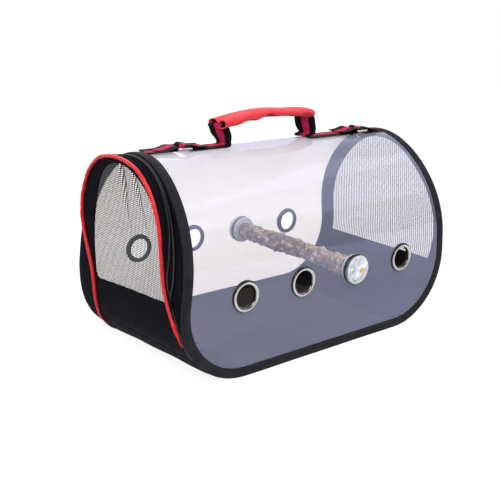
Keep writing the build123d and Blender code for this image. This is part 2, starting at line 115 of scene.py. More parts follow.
def sewn(name, grids, body, skin, uv=None, loop=(False, False), replaces=(), slot=None, away=(0, 0, 120),
         keep=None, closed=False, thick=0.0, level=0):
    """Make one piece from a grid or a list of grids (rows x columns x 3, mm). Faces turn away from a point, or,
    for a closed form, so that its volume is positive. Each corner's UV is the grid's own (u, v) in mm."""
    grids = grids if isinstance(grids, list) else [grids]
    uvs = uv if isinstance(uv, list) else [uv] * len(grids)
    points, faces, corners, base = [], [], [], 0
    for grid, chart in zip(grids, uvs):
        rows, columns = grid.shape[:2]
        quad, ci, cj = quads(rows, columns, *loop)
        flat = grid.reshape(-1, 3)
        if keep is not None:
            chosen = keep(flat[quad].mean(1)) if callable(keep) else keep
            quad, ci, cj = quad[chosen], ci[chosen], cj[chosen]
        a, b, c, d = (flat[quad[:, k]] for k in range(4))
        normal = np.cross(c - a, d - b)
        middle = (a + b + c + d) / 4
        centre = flat.mean(0) if closed else np.array(away, float)
        turned = ((middle - centre) * normal).sum() < 0
        order = [3, 2, 1, 0] if turned else [0, 1, 2, 3]
        points.append(flat)
        faces.append(quad[:, order] + base)
        if chart is not None:
            chart = np.concatenate([chart, chart[:1]]) if loop[0] and len(chart) == rows else chart
            chart = np.concatenate([chart, chart[:, :1]], 1) if loop[1] and chart.shape[1] == columns else chart
            corners.append(chart[ci[:, order], cj[:, order]].reshape(-1, 2))
        base += len(flat)
    points, faces = np.concatenate(points), np.concatenate(faces)
    mesh = bpy.data.meshes.new(name)
    mesh.vertices.add(len(points))
    mesh.vertices.foreach_set("co", (points / 1000).ravel())
    mesh.loops.add(faces.size)
    mesh.loops.foreach_set("vertex_index", faces.ravel().astype(np.int32))
    mesh.polygons.add(len(faces))
    mesh.polygons.foreach_set("loop_start", np.arange(0, faces.size, 4, dtype=np.int32))
    mesh.polygons.foreach_set("use_smooth", np.ones(len(faces), bool))
    if corners:
        mesh.uv_layers.new(name="UVMap").data.foreach_set("uv", np.concatenate(corners).astype(np.float32).ravel())
    mesh.update(calc_edges=True)
    work = bmesh.new()
    work.from_mesh(mesh)
    loose = [v for v in work.verts if not v.link_faces]
    bmesh.ops.delete(work, geom=loose, context="VERTS")
    bmesh.ops.remove_doubles(work, verts=work.verts, dist=1e-6)
    work.to_mesh(mesh)
    work.free()
    mesh.materials.append(skin)
    piece = bpy.data.objects.new(name, mesh)
    bpy.context.scene.collection.objects.link(piece)
    if thick:
        wall = piece.modifiers.new("cloth_thickness", "SOLIDIFY")
        wall.thickness, wall.offset = thick / 1000, -1
    if level:
        smooth = piece.modifiers.new("soft_finish", "SUBSURF")
        smooth.levels = smooth.render_levels = level
    if body:
        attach(piece, body)
    if replaces:
        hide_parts(*replaces)
    print(f"{name}: {len(mesh.polygons)} faces on {body}")
    return piece


def spread(rows, columns):
    """UV chart in mm from a length per row and a length per column, as a grid of (u, v)."""
    return np.stack(np.meshgrid(rows, columns, indexing="ij"), -1)


def round_section(count, half_a, half_b, power=2.0):
    """Superellipse: a is half_a and b half_b times the cosine's and sine's size to the power 2 / power, with their signs."""
    t = np.linspace(0, 2 * np.pi, count, endpoint=False)
    c, s = np.cos(t), np.sin(t)
    return np.stack([half_a * np.sign(c) * abs(c) ** (2 / power), half_b * np.sign(s) * abs(s) ** (2 / power)], -1)


def carried(path, side, lift, section):
    """A profile carried along a path: each profile point (a, b) is laid a along side and b along lift from the path."""
    return path[:, None] + section[..., :1] * side[:, None] + section[..., 1:] * lift[:, None]


def capped(grid):
    """Close a tube's two ends: each end ring is drawn in to its own middle, and the pole's doubles are merged."""
    ends = [grid[i].mean(0, keepdims=True).repeat(grid.shape[1], 0)[None] for i in (0, -1)]
    return np.concatenate([ends[0], grid, ends[1]])


def unit(v):
    """Each vector divided by its length."""
    return v / np.maximum(np.linalg.norm(v, axis=-1, keepdims=True), 1e-9)


def smooth_step(x, low, high):
    """0 below low, 1 above high, and 3t^2 - 2t^3 between."""
    t = np.clip((x - low) / (high - low), 0, 1)
    return t * t * (3 - 2 * t)

# %% [markdown]
# The cabin and the door are arches drawn with tangent arcs: a tight crown, a slower side arc and an
# upright wall. Such a line is best walked: start at the crown facing sideways and turn by length over
# radius. A distance along it then gives a place and the direction out of the wall, for any row of any
# grid. Seen from the front, the ends lean, above a bottom corner of 90 mm radius.

# %% Cabin and door outlines
def walk(top, spans, step=0.1):
    """A line walked from (0, top) facing +y: for each (length, radius) the heading falls by distance over radius,
    and the place is the running sum of the heading's cosine and sine."""
    knots = np.cumsum([0] + [length for length, _ in spans])
    s = np.linspace(0, knots[-1], int(knots[-1] / step) + 1)
    middle = (s[1:] + s[:-1]) / 2
    starts = np.cumsum([0] + [length / radius for length, radius in spans])
    piece = np.clip(np.searchsorted(knots, middle) - 1, 0, len(spans) - 1)
    radii = np.array([radius for _, radius in spans])
    turn = -(starts[piece] + (middle - knots[piece]) / radii[piece])
    ds = np.diff(s)
    y = np.concatenate([[0], np.cumsum(np.cos(turn) * ds)])
    z = top + np.concatenate([[0], np.cumsum(np.sin(turn) * ds)])
    heading = np.interp(s, middle, turn)
    return {"s": s, "y": y, "z": z, "heading": heading, "knots": knots}


def place(line, s, inset=0.0):
    """y, z and the outward direction at a signed distance from the crown, drawn in by inset along that direction."""
    a = abs(s)
    heading = np.interp(a, line["s"], line["heading"])
    ny, nz = -np.sin(heading), np.cos(heading)
    y, z = np.interp(a, line["s"], line["y"]) - inset * ny, np.interp(a, line["s"], line["z"]) - inset * nz
    side = np.where(s < 0, -1.0, 1.0)
    return side * y, z, side * ny, nz


def side_span(half, rise, crown_z, radius):
    """Radius and angle of the arc tangent to an upright wall at half, from rise up to the crown's arc."""
    drop = crown_z - rise
    reach = (half ** 2 + drop ** 2 - radius ** 2) / (2 * (half - radius))
    return reach, np.arctan2(drop, reach - half)


def arched(half, rise, radius, inset=0.0, crown_z=162.0):
    """Crown and side spans of an arch, each radius less its inset, for walk()."""
    reach, angle = side_span(half, rise, crown_z, radius)
    return [((radius - inset) * (np.pi / 2 - angle), radius - inset), ((reach - inset) * angle, reach - inset)]


def end_x(top_half, z, inset=0.0):
    """Half length at a height: on the corner's arc 130 + sqrt(r^2 - (z - 90)^2), and above it the tangent line
    that reaches top_half at a height of 250."""
    lean = np.arctan2(160, top_half - 130) - np.arccos(90 / np.hypot(160, top_half - 130))
    r = 90 - inset
    arc = 130 + np.sqrt(np.maximum(r ** 2 - (np.minimum(z, 90 + r * np.sin(lean)) - 90) ** 2, 0))
    line = 130 + (r - (z - 90) * np.sin(lean)) / np.cos(lean)
    return np.where(z < 90 + r * np.sin(lean), arc, line)


def settled(points):
    """Sag over the rear door corner: radius from the corner's centre (-130, 90) grows by up to 10 mm, by smooth
    steps of the angle round the corner and of the radius, evenly with depth, and nothing goes under the floor."""
    x, y, z = (points[..., k] for k in range(3))
    radius = np.maximum(np.hypot(x + 130, z - 90), 1.0)
    turn = np.arctan2(90 - z, -130 - x) / (np.pi / 2)
    amount = 10 * smooth_step(turn, 0, 0.6) * (1 - smooth_step(turn, 0.7, 1)) * smooth_step(radius, 60, 84)
    scale = 1 + amount * np.clip((y + 105) / 211, 0, 1) * (x < -130) / radius
    low = np.minimum(z, 0.3)
    return np.stack([-130 + (x + 130) * scale, y, np.maximum(90 + (z - 90) * scale, low)], -1)


STRAIGHT = 1e9
HALF, CROWN, DOOR_TOP, END_TOP = 115.0, 250.0, 226.0, 203.0
cabin = walk(CROWN, [*arched(HALF, 118, 88), (118.0, STRAIGHT)])
flare_radius = (50 ** 2 + 13 ** 2) / 26
flare = (flare_radius * np.arctan2(50, flare_radius - 13), -flare_radius)
door_arch = arched(94, 125, 83)
door = walk(245.0, [*door_arch, (35.0, STRAIGHT), flare, (3.7, STRAIGHT)])


def swell(z, front):
    """Outward shift of the door's edge at a height, by straight lines between chosen places: it is full at the
    shoulders, drawn in below them, and runs out to the front wall at its front foot."""
    heights = [36, 53, 65, 79, 98, 120, 140, 160, 184, 216, 235, 245]
    ahead = np.interp(z, heights, [1, 7, 11, 9, 0, -8, -9, -7, 0, 6, 7, 4])
    behind = np.interp(z, heights, [-20, -21, -20.5, -19, -16, -10, -2, 5, 9, 9, 8, 4])
    return np.where(front, ahead, behind)


def swollen(line, s, inset=0.0, share=1.0, low_only=False):
    """A place on the door's outline, moved along its own normal by a share of the swell, or, under its foot, in depth."""
    y, z, ny, nz = place(line, s, inset)
    out = share * swell(z, s < 0) * (1 - smooth_step(z, 92, 128) * low_only)
    under = nz < -0.5
    inner = np.clip((abs(y) - 70) / 20, 0, 1)
    y2 = y + out * np.where(under, np.sign(y) * inner, ny)
    return y2, z + out * np.where(under, 0, nz), ny, nz


print("half girths, mm: cabin", round(cabin["knots"][-1], 1), "door", round(door["knots"][-1], 1))
# %% [markdown]
# A woven cloth is two sets of threads that cross. Two wave textures at right angles, multiplied, give the
# raised crossings, and a slow noise gives the lint and uneven dye that keep black cloth from looking
# like paint. The charts are in millimetres, so a wave's scale comes straight from the thread spacing.

# %% Cloth surface helpers
def chart(tree, source="UV", turn=0.0, scale=1.0):
    """The piece's own map in mm, turned and scaled about its origin. Object coordinates are metres, so scale is 1000."""
    where = put(tree, "TexCoord")
    return put(tree, "Mapping", {0: where.outputs[source], "Rotation": (0, 0, turn), "Scale": (scale,) * 3}).outputs[0]


def ribs(tree, vector, pitch, direction="X", waver=0.6):
    """Bands of the given pitch in mm, 0 to 1: one wave is 2 pi / (20 x scale) long, so scale is pi / (10 x pitch)."""
    return put(tree, "TexWave", {0: vector, "Scale": np.pi / 10 / pitch, "Distortion": waver, "Detail": 1.0,
                                 "Detail Scale": 0.4}, bands_direction=direction).outputs["Fac"]


def grain(tree, vector, size, detail=3.0, rough=0.55):
    """Soft noise whose patches are about size mm across, 0 to 1."""
    return put(tree, "TexNoise", {"Vector": vector, "Scale": 1 / size, "Detail": detail, "Roughness": rough}).outputs[0]


def blended(tree, share, first, second):
    """A colour part way between two, by a share from 0 to 1."""
    mix = put(tree, "Mix", {0: share, 6: first, 7: second}, data_type="RGBA")
    return mix.outputs[2]


def ranged(tree, value, low, high, to_low, to_high):
    """A value stretched in a straight line from one range to another, and held inside it."""
    return put(tree, "MapRange", {0: value, 1: low, 2: high, 3: to_low, 4: to_high}).outputs[0]


def crossed(tree, first, second, operation="MULTIPLY"):
    """Two values put together by one sum."""
    return put(tree, "Math", {0: first, 1: second}, operation=operation).outputs[0]


def woven(name, dark, light, pitch, source="UV", turn=0.0, rough=(0.72, 0.9), depth=0.35, sheen=0.0, shine=0.05):
    """Plain weave: threads of one pitch both ways, dyed from dark to light by slow noise, with a dull sheen."""
    material, tree, out = start(name)
    mm = chart(tree, source, turn, 1000.0 if source == "Object" else 1.0)
    crossing = crossed(tree, ribs(tree, mm, pitch), ribs(tree, mm, pitch, "Y"))
    lint = grain(tree, mm, 9.0)
    colour = blended(tree, ranged(tree, crossed(tree, lint, ranged(tree, crossing, 0, 1, 0.55, 1.0)), 0.2, 0.7, 0, 1),
                     tone(dark), tone(light))
    bump = put(tree, "Bump", {"Strength": depth, "Distance": 0.0003, "Height": crossing})
    shade = put(tree, "BsdfPrincipled", {"Base Color": colour, "Roughness": ranged(tree, lint, 0.3, 0.7, *rough),
                                         "Normal": bump.outputs[0], "Sheen Weight": sheen, "Sheen Roughness": 0.45,
                                         "Specular IOR Level": shine})
    tree.links.new(shade.outputs[0], out.inputs[0])
    return material


# Polyurethane-coated polyester, plain weave, 0.9 mm threads: nearly black, a slight oily bloom, soft highlights.
black_cloth = woven("coated_polyester_cloth", "0b0b11", "191924", 0.9)
# Washable floor cloth, a coarser felted weave of 1.6 mm: duller, with more lint.
floor_cloth = woven("floor_liner_cloth", "302d2c", "383534", 1.6, rough=(0.85, 0.95), depth=0.3)
# The same cloth on solids that carry no chart.
solid_cloth = woven("channel_cloth", "08080a", "1a1a1e", 1.0, source="Object")
# Coral red polyester, brushed, 0.7 mm threads: bright, even, with a soft bloom at its folds.
grip_cloth = woven("coral_polyester_cloth", "e62c3a", "ff525c", 0.7, rough=(0.6, 0.8), depth=0.25, sheen=0.12, shine=0.3)
print("plain weaves ready")

# %% [markdown]
# Binding tape is a twill: its ribs run slantwise. It is sewn through both layers near its inner edge, so
# a row of stitches 3 mm long sinks into it there. Both patterns follow the tape round its corners,
# which only the piece's own chart can do.

# %% Binding tape, piping and webbing
def twill_tape():
    """Twill at 45 degrees, ribs 1.3 mm apart, with a sunk row of stitches 9.4 mm from the folded edge."""
    material, tree, out = start("polyester_twill_tape")
    mm = chart(tree)
    rib = ribs(tree, mm, 1.3, "DIAGONAL", 0.3)
    parts = put(tree, "SeparateXYZ", {0: mm})
    across = crossed(tree, parts.outputs[1], 9.4, "SUBTRACT")
    row = ranged(tree, crossed(tree, across, 0.0, "ABSOLUTE"), 0.25, 0.75, 1, 0)
    dash = put(tree, "Math", {0: crossed(tree, parts.outputs[0], 2 * np.pi / 3.2)}, operation="SINE").outputs[0]
    stitch = crossed(tree, row, ranged(tree, dash, -0.5, -0.1, 0, 1))
    worn = ranged(tree, grain(tree, mm, 14.0), 0.35, 0.7, 0, 1)
    colour = blended(tree, crossed(tree, worn, rib), tone("0c0c12"), tone("2c2c36"))
    colour = blended(tree, crossed(tree, stitch, 0.5), colour, tone("3a3a40"))
    height = crossed(tree, rib, crossed(tree, stitch, 1.5), "ADD")
    bump = put(tree, "Bump", {"Strength": 0.4, "Distance": 0.0003, "Height": height})
    shade = put(tree, "BsdfPrincipled", {"Base Color": colour, "Roughness": 0.78, "Normal": bump.outputs[0],
                                         "Sheen Weight": 0.03, "Sheen Roughness": 0.4, "Specular IOR Level": 0.3})
    tree.links.new(shade.outputs[0], out.inputs[0])
    return material


def satin_piping():
    """Satin bias tape over a cord: slanting ribs 1.1 mm apart and slow puckers where the seam gathers it."""
    material, tree, out = start("red_satin_piping")
    mm = chart(tree)
    rib = ribs(tree, mm, 1.1, "DIAGONAL", 0.4)
    pucker = grain(tree, mm, 4.0, 2.0)
    colour = blended(tree, ranged(tree, pucker, 0.3, 0.7, 0, 1), tone("e0161e"), tone("ff2c30"))
    bump = put(tree, "Bump", {"Strength": 0.35, "Distance": 0.0004, "Height": crossed(tree, rib, pucker, "ADD")})
    shade = put(tree, "BsdfPrincipled", {"Base Color": colour, "Roughness": 0.42, "Normal": bump.outputs[0],
                                         "Sheen Weight": 0.1, "Sheen Roughness": 0.3, "Specular IOR Level": 0.4})
    tree.links.new(shade.outputs[0], out.inputs[0])
    return material


def striped_webbing():
    """Ribbed webbing: the middle third of its width crimson, the outer thirds black, ribs 1.5 mm apart across it."""
    material, tree, out = start("striped_polyester_webbing")
    mm = chart(tree)
    parts = put(tree, "SeparateXYZ", {0: mm})
    waver = ranged(tree, grain(tree, mm, 2.5), 0.3, 0.7, -0.35, 0.35)
    middle = crossed(tree, crossed(tree, parts.outputs[1], 0.0, "ABSOLUTE"), waver, "ADD")
    stripe = ranged(tree, middle, 4.9, 5.5, 1, 0)
    rib = crossed(tree, ribs(tree, mm, 1.5), ribs(tree, mm, 1.2, "Y"))
    shade_share = ranged(tree, crossed(tree, rib, grain(tree, mm, 6.0), "ADD"), 0.4, 1.3, 0, 1)
    crimson = blended(tree, shade_share, tone("b81c48"), tone("ee3f72"))
    black = blended(tree, shade_share, tone("070709"), tone("202024"))
    colour = blended(tree, stripe, black, crimson)
    bump = put(tree, "Bump", {"Strength": 0.5, "Distance": 0.0004, "Height": rib})
    shade = put(tree, "BsdfPrincipled", {"Base Color": colour, "Roughness": 0.7, "Normal": bump.outputs[0],
                                         "Sheen Weight": 0.0, "Sheen Roughness": 0.35, "Specular IOR Level": 0.08})
    tree.links.new(shade.outputs[0], out.inputs[0])
    return material


tape_skin, piping_skin, webbing_skin = twill_tape(), satin_piping(), striped_webbing()
print("tape, piping and webbing ready")

# %% [markdown]
# Net is mostly holes. Modelling each hole would take hundreds of thousands of faces, so the net is one
# sheet whose opacity is the lattice: cos(a) + cos(b) over the two slanting directions is high in the
# holes and low on the threads. The holes are drawn 2 to 4 mm apart, coarser than the real 1.5 mm, so
# that they still show. A fold closes them up, and it comes with the sheet as an attribute.

# %% Net
def open_net(name, dark, light, threshold, pitch, turn=0.0):
    """Holes where cos(a) + cos(b) is above a threshold: a and b are the chart's two lengths times 2 pi over the net's
    two pitches, turned together to make diamonds of the squares. In a fold the holes are up to 0.6 filled."""
    material, tree, out = start(name)
    where = put(tree, "TexCoord").outputs["UV"]
    size = (2 * np.pi / pitch[0], 2 * np.pi / pitch[1], 1)
    laid = put(tree, "Mapping", {0: where, "Scale": size, "Rotation": (0, 0, turn)})
    parts = put(tree, "SeparateXYZ", {0: laid.outputs[0]})
    waves = [put(tree, "Math", {0: parts.outputs[k]}, operation="COSINE").outputs[0] for k in (0, 1)]
    fold = put(tree, "Attribute", attribute_name="fold").outputs["Fac"]
    solid = crossed(tree, crossed(tree, *waves, "ADD"), threshold, "LESS_THAN")
    solid = crossed(tree, solid, crossed(tree, fold, 0.6), "MAXIMUM")
    shine = ranged(tree, grain(tree, chart(tree), 12.0), 0.3, 0.7, 0, 1)
    shade = put(tree, "BsdfPrincipled", {"Base Color": blended(tree, shine, tone(dark), tone(light)),
                                         "Roughness": 0.5, "Alpha": solid, "Sheen Weight": 0.2})
    tree.links.new(shade.outputs[0], out.inputs[0])
    return material


door_net = open_net("door_polyester_net", "18181e", "34343e", 0.15, (2.9, 2.2))
fixed_net = open_net("fixed_polyester_net", "62626c", "80808a", 0.1, (3.6, 1.7))
print("nets ready")

# %% [markdown]
# Soft PVC film passes most light, tinted a little warm because it scatters the blue, and that scattered
# blue is the milky violet it shows over black. So the film mixes two shaders: a clear one with a warm
# tint, and a solid one whose pale violet body turns to a mirror. Seen along its surface both milkiness
# and mirror grow, which Layer Weight gives. Slow streaks in its milkiness are painted reflection, and
# drawing the film leaves ripples that bend only its highlights.

# %% Film
def pvc_film(share=0.222, body="ced2ff", shine="f0f0ff", tint="fffbf5"):
    """Clear tinted share, (1 - g)(1 - m), and the rest a milky body and a mirror mixed by Metallic. Milkiness m rises
    from its share to 0.7, and mirror g from 0.05 to 1, with the fourth and fifth powers of Layer Weight's Facing."""
    material, tree, out = start("clear_pvc_film")
    where = put(tree, "TexCoord").outputs["Object"]
    drawn = put(tree, "Mapping", {0: where, "Scale": (5, 14, 22)})
    ripple = put(tree, "TexNoise", {"Vector": drawn.outputs[0], "Scale": 1.2, "Detail": 2.0}).outputs[0]
    # Painted reflection: slow streaks that scale the milkiness between 0.9 and 1.12 times.
    painted_reflection_streak = put(tree, "TexNoise", {"Vector": put(tree, "Mapping", {0: where, "Scale": (4, 9, 30)}).outputs[0],
                                    "Scale": 1.0, "Detail": 5.0, "Roughness": 0.6, "Distortion": 0.6}).outputs[0]
    bump = put(tree, "Bump", {"Strength": 0.25, "Distance": 0.004, "Height": ripple})
    facing = put(tree, "LayerWeight", {"Blend": 0.5}).outputs["Facing"]
    milky = ranged(tree, crossed(tree, facing, 4.0, "POWER"), 0.0, 1.0, share, 0.7)
    milky = crossed(tree, milky, ranged(tree, painted_reflection_streak, 0.3, 0.7, 0.9, 1.12))
    mirror = ranged(tree, crossed(tree, facing, 5.0, "POWER"), 0.0, 1.0, 0.05, 1.0)
    through = crossed(tree, crossed(tree, 1.0, milky, "SUBTRACT"), crossed(tree, 1.0, mirror, "SUBTRACT"))
    solid = crossed(tree, 1.0, through, "SUBTRACT")
    metal = crossed(tree, mirror, solid, "DIVIDE")
    clear = put(tree, "BsdfTransparent", {0: tone(tint)})
    body = put(tree, "BsdfPrincipled", {"Base Color": blended(tree, metal, tone(body), tone(shine)), "Metallic": metal,
                                        "Roughness": 0.1, "Specular IOR Level": 0.0, "Normal": bump.outputs[0]})
    mix = put(tree, "MixShader", {0: solid, 1: clear.outputs[0], 2: body.outputs[0]})
    tree.links.new(mix.outputs[0], out.inputs[0])
    return material


film_skin = pvc_film()
print("film ready")

# %% [markdown]
# The metals are plated or lacquered pressings, smooth with hairline scuffs. Brass is polished. The perch
# fittings are moulded acrylic, clear with a frosty core, and the branch is bark: grey-brown, ridged, with
# paler wood where knots were cut. The knots come with the branch as an attribute.

# %% Hard materials
def smooth_hard(name, colour, metallic, rough, size=3.0, **more):
    """A smooth hard surface whose roughness wanders between two values, as handling leaves it."""
    material, tree, out = start(name)
    scuff = grain(tree, chart(tree, "Object", scale=1000.0), size, 5.0, 0.7)
    sockets = {"Base Color": tone(colour), "Metallic": metallic, "Roughness": ranged(tree, scuff, 0.35, 0.65, *rough)}
    shade = put(tree, "BsdfPrincipled", {**sockets, **more})
    tree.links.new(shade.outputs[0], out.inputs[0])
    return material


def plated_nickel():
    """Bright nickel, with painted shade and dark reflection where the mesh's attribute is 1: outer edge and barrel."""
    material, tree, out = start("nickel_plated_steel")
    scuff = grain(tree, chart(tree, "Object", scale=1000.0), 3.0, 5.0, 0.7)
    painted_edge_shade = put(tree, "Attribute", attribute_name="painted_edge_shade").outputs["Fac"]
    # Painted shade and dark reflection: where the attribute is 1 the nickel goes nearly black.
    colour = blended(tree, ranged(tree, painted_edge_shade, 0, 1, 0, 0.95), tone("bcb9b7"), tone("151518"))
    shade = put(tree, "BsdfPrincipled", {"Base Color": colour, "Metallic": 1.0,
                                         "Roughness": ranged(tree, scuff, 0.35, 0.65, 0.12, 0.24)})
    tree.links.new(shade.outputs[0], out.inputs[0])
    return material


nickel = plated_nickel()
brass = smooth_hard("polished_brass", "d8b668", 1.0, (0.18, 0.32))
washer_steel = smooth_hard("darkened_washer_steel", "1b1b20", 0.9, (0.25, 0.4))
lacquer = smooth_hard("black_lacquered_zinc", "101013", 0.0, (0.22, 0.4), **{"Coat Weight": 0.6, "Coat Roughness": 0.08})
nylon = smooth_hard("black_nylon_coil", "0b0b0d", 0.0, (0.35, 0.5))
board = smooth_hard("grey_polypropylene_board", "3c3c42", 0.0, (0.5, 0.65))
acrylic = smooth_hard("moulded_clear_acrylic", "f4f8ff", 0.0, (0.03, 0.1),
                      **{"IOR": 1.49, "Transmission Weight": 0.15, "Coat Weight": 1.0, "Coat Roughness": 0.03})


def pepper_bark():
    """Bark coloured by noise and by the branch's knot attribute, with painted shade between knots; bumped by fine
    ridges.
    """
    material, tree, out = start("pepper_wood_bark")
    mm = chart(tree, "Object", scale=1000.0)
    patch, fine = grain(tree, mm, 7.0, 5.0, 0.65), grain(tree, mm, 2.6, 3.0, 0.6)
    knot = put(tree, "Attribute", attribute_name="knot").outputs["Fac"]
    bark = blended(tree, ranged(tree, patch, 0.35, 0.65, 0, 1), tone("b8966a"), tone("fff0d8"))
    bark = blended(tree, ranged(tree, fine, 0.48, 0.6, 0, 0.75), bark, tone("4a3624"))
    # Painted shade: off the knots, where the attribute is under 0.08, the bark goes up to 0.6 of the way to deep brown.
    bark = blended(tree, ranged(tree, knot, 0.0, 0.08, 0.6, 0), bark, tone("33261b"))
    colour = blended(tree, ranged(tree, knot, 0.45, 0.6, 0, 1), bark, tone("ffe8d8"))
    bump = put(tree, "Bump", {"Strength": 0.8, "Distance": 0.0012, "Height": crossed(tree, patch, fine, "ADD")})
    shade = put(tree, "BsdfPrincipled", {"Base Color": colour, "Roughness": 0.85, "Normal": bump.outputs[0]})
    tree.links.new(shade.outputs[0], out.inputs[0])
    return material


bark_skin = pepper_bark()
print("hard materials ready")
# %% [markdown]
# The clear wall is one sheet of film, from the front floor seam up over the cabin and down to the rear
# one. Its grid follows the arch by girth and the leaning ends by length, so the sheet's own rim is where
# the binding holds it. Rows crowd together in the bottom corners, where the rim turns. Slow ripples lie
# low on the walls, and holes are left under the eyelets.

# %% Film sheet
EYELETS = [-132.0, -44.0, 44.0, 132.0]
EYELET_Z, FILM_FACE = 98.5, 114.0


def half_rows(line, wall, low_z, seam=3.0):
    """Girth stations from the crown to the foot: even over the arch, then by equal angles of the corner's arc."""
    arch = np.linspace(0, line["knots"][2], 74)
    upper = np.linspace(line["knots"][2], line["knots"][2] + wall - 90, 11)[1:]
    angle = np.linspace(0, np.pi / 2, 40)[1:]
    low = line["knots"][2] + wall - (90 - (90 - seam) * np.sin(angle))
    return np.concatenate([arch, upper, low[low <= line["knots"][2] + wall - low_z]])


rows = half_rows(cabin, 118.0, 3.0)
rows = np.concatenate([-rows[::-1], rows[1:]])
y, z, ny, nz = place(cabin, rows, 1.2)
reach = end_x(END_TOP, z, 3.0)
across = np.linspace(-1, 1, 231)
x = across[None] * reach[:, None]
rim = np.minimum(reach[:, None] - abs(x), (z - 3.0)[:, None])
calm = smooth_step(rim, 6, 34)
for eyelet in EYELETS:
    calm = calm * smooth_step(np.hypot(x - eyelet, (z - EYELET_Z)[:, None]) + (z[:, None] > 150) * 99, 20, 44)
low = np.exp(-((z[:, None] - 38) / 26) ** 2)
ripple = 0.9 * low * np.sin(z[:, None] / 6.5 + 1.4 * np.sin(x / 55) + 0.6 * np.sign(rows)[:, None])
ripple = ripple + 0.5 * np.sin(x / 47 + 0.8) * np.sin(rows[:, None] / 61) + 0.35 * np.sin(x / 23 + rows[:, None] / 35)
lift = -0.5 * calm + 0.5 * ripple * calm
film = np.stack([x, y[:, None] + lift * ny[:, None], z[:, None] + lift * nz[:, None]], -1)


def outside_eyelets(middle):
    """Keep the quads whose middle is more than 16.2 mm from every eyelet's centre, measured on the wall."""
    near = [np.hypot(middle[:, 0] - eyelet, middle[:, 2] - EYELET_Z) < 16.2 for eyelet in EYELETS]
    return ~np.any(near, axis=0)


film_sheet = sewn("clear_film_sheet", settled(film), "carrier", film_skin, uv=spread(rows, across * 203), slot="clear_film",
                  replaces=["clear_roof", "front_window", "rear_window"], keep=outside_eyelets)

# %% [markdown]
# One long tape is folded over the film's rim and sewn on, a closed loop: along the front floor edge,
# round the bottom corner, up the leaning end, over the crown, down again and back along the rear. The
# tape's section is a flattened ring, 12 mm wide and pillowed, with a channel where the stitches pull.

# %% Edge binding
LEAN = np.arctan2(160, END_TOP - 130) - np.arccos(90 / np.hypot(160, END_TOP - 130))
t = np.linspace(0, 2 * np.pi, 36, endpoint=False)
w = 6 + 6.1 * np.sign(np.cos(t)) * abs(np.cos(t)) ** (2 / 3.6)
h = -1.4 + 1.75 * np.sign(np.sin(t)) * abs(np.sin(t)) ** (2 / 3.2)
h = h - 0.45 * np.exp(-((w - 9.4) / 0.8) ** 2) * np.sign(np.sin(t)) + 0.3 * np.exp(-((w - 5) / 3) ** 2) * (np.sin(t) > 0)
w, h = w[None], h[None]


def low_edge(x, side):
    """Along the floor seam: w is height above the floor and h stands off the upright wall."""
    x = x[:, None]
    return np.stack(np.broadcast_arrays(x, side * (HALF + h), w + 0 * x), -1)


def low_corner(angle, hand, side):
    """Round the bottom corner, in polar form: the radius is 90 less w about (130, 90), seen from the front."""
    angle = angle[:, None]
    r = 90 - w
    return np.stack(np.broadcast_arrays(hand * (130 + r * np.cos(angle)), side * (HALF + h), 90 + r * np.sin(angle)), -1)


def over_end(share, hand, side):
    """Up the leaning end: the girth runs from the corner's spring to the crown, and x is the end's own less w."""
    spring = cabin["knots"][2] + 118 - (90 + (90 - w) * np.sin(LEAN))
    s = side * spring * (1 - share[:, None])
    s = np.where(s == 0, side * 1e-6, s)
    y, z, ny, nz = place(cabin, s)
    return np.stack([hand * end_x(END_TOP, z, w), y + h * ny, z + h * nz], -1)


floor_x = np.linspace(-130, 130, 88)[1:-1]
bend = np.linspace(-np.pi / 2, LEAN, 40)
climb = np.linspace(0, 1, 76)[1:]
loop = np.concatenate([
    low_edge(floor_x, -1), low_corner(bend, 1, -1), over_end(climb, 1, -1),
    over_end(climb, 1, 1)[::-1][1:], low_corner(bend, 1, 1)[::-1], low_edge(floor_x[::-1], 1),
    low_corner(bend, -1, 1), over_end(climb, -1, 1), over_end(climb, -1, -1)[::-1][1:], low_corner(bend, -1, -1)[::-1]])
line = loop.mean(1)
run = np.concatenate([[0], np.cumsum(np.linalg.norm(np.diff(np.concatenate([line, line[:1]]), axis=0), axis=1))])
w_chart = np.concatenate([w[0], w[0][:1]])
uv = np.stack([np.broadcast_to(run[:, None], (len(run), len(w_chart))),
               np.broadcast_to(w_chart[None], (len(run), len(w_chart)))], -1)
slow = 0.25 * np.sin(run[:-1] / 17) + 0.2 * np.sin(run[:-1] / 41 + 1)
loop[:, h[0] > -1, 1] += (np.sign(loop[:, :1, 1]) * slow[:, None] * 0.5)[:, :1]
binding = sewn("edge_binding_tape", settled(loop), "carrier", tape_skin, uv=uv, loop=(True, True), closed=True,
               replaces=["left_binding", "right_binding", "front_binding", "rear_binding"], slot="black_binding")
print("binding length, mm:", round(run[-1]))

# %% [markdown]
# The floor and the bottom corners are one cloth that runs from one end's foot down, under the cabin and
# up to the other end. Its outer face is the CAD solid's. It is baggy where nothing stretches it: the
# cloth bulges a little at the bottom corners, more at the door end's rear, and dimples between.

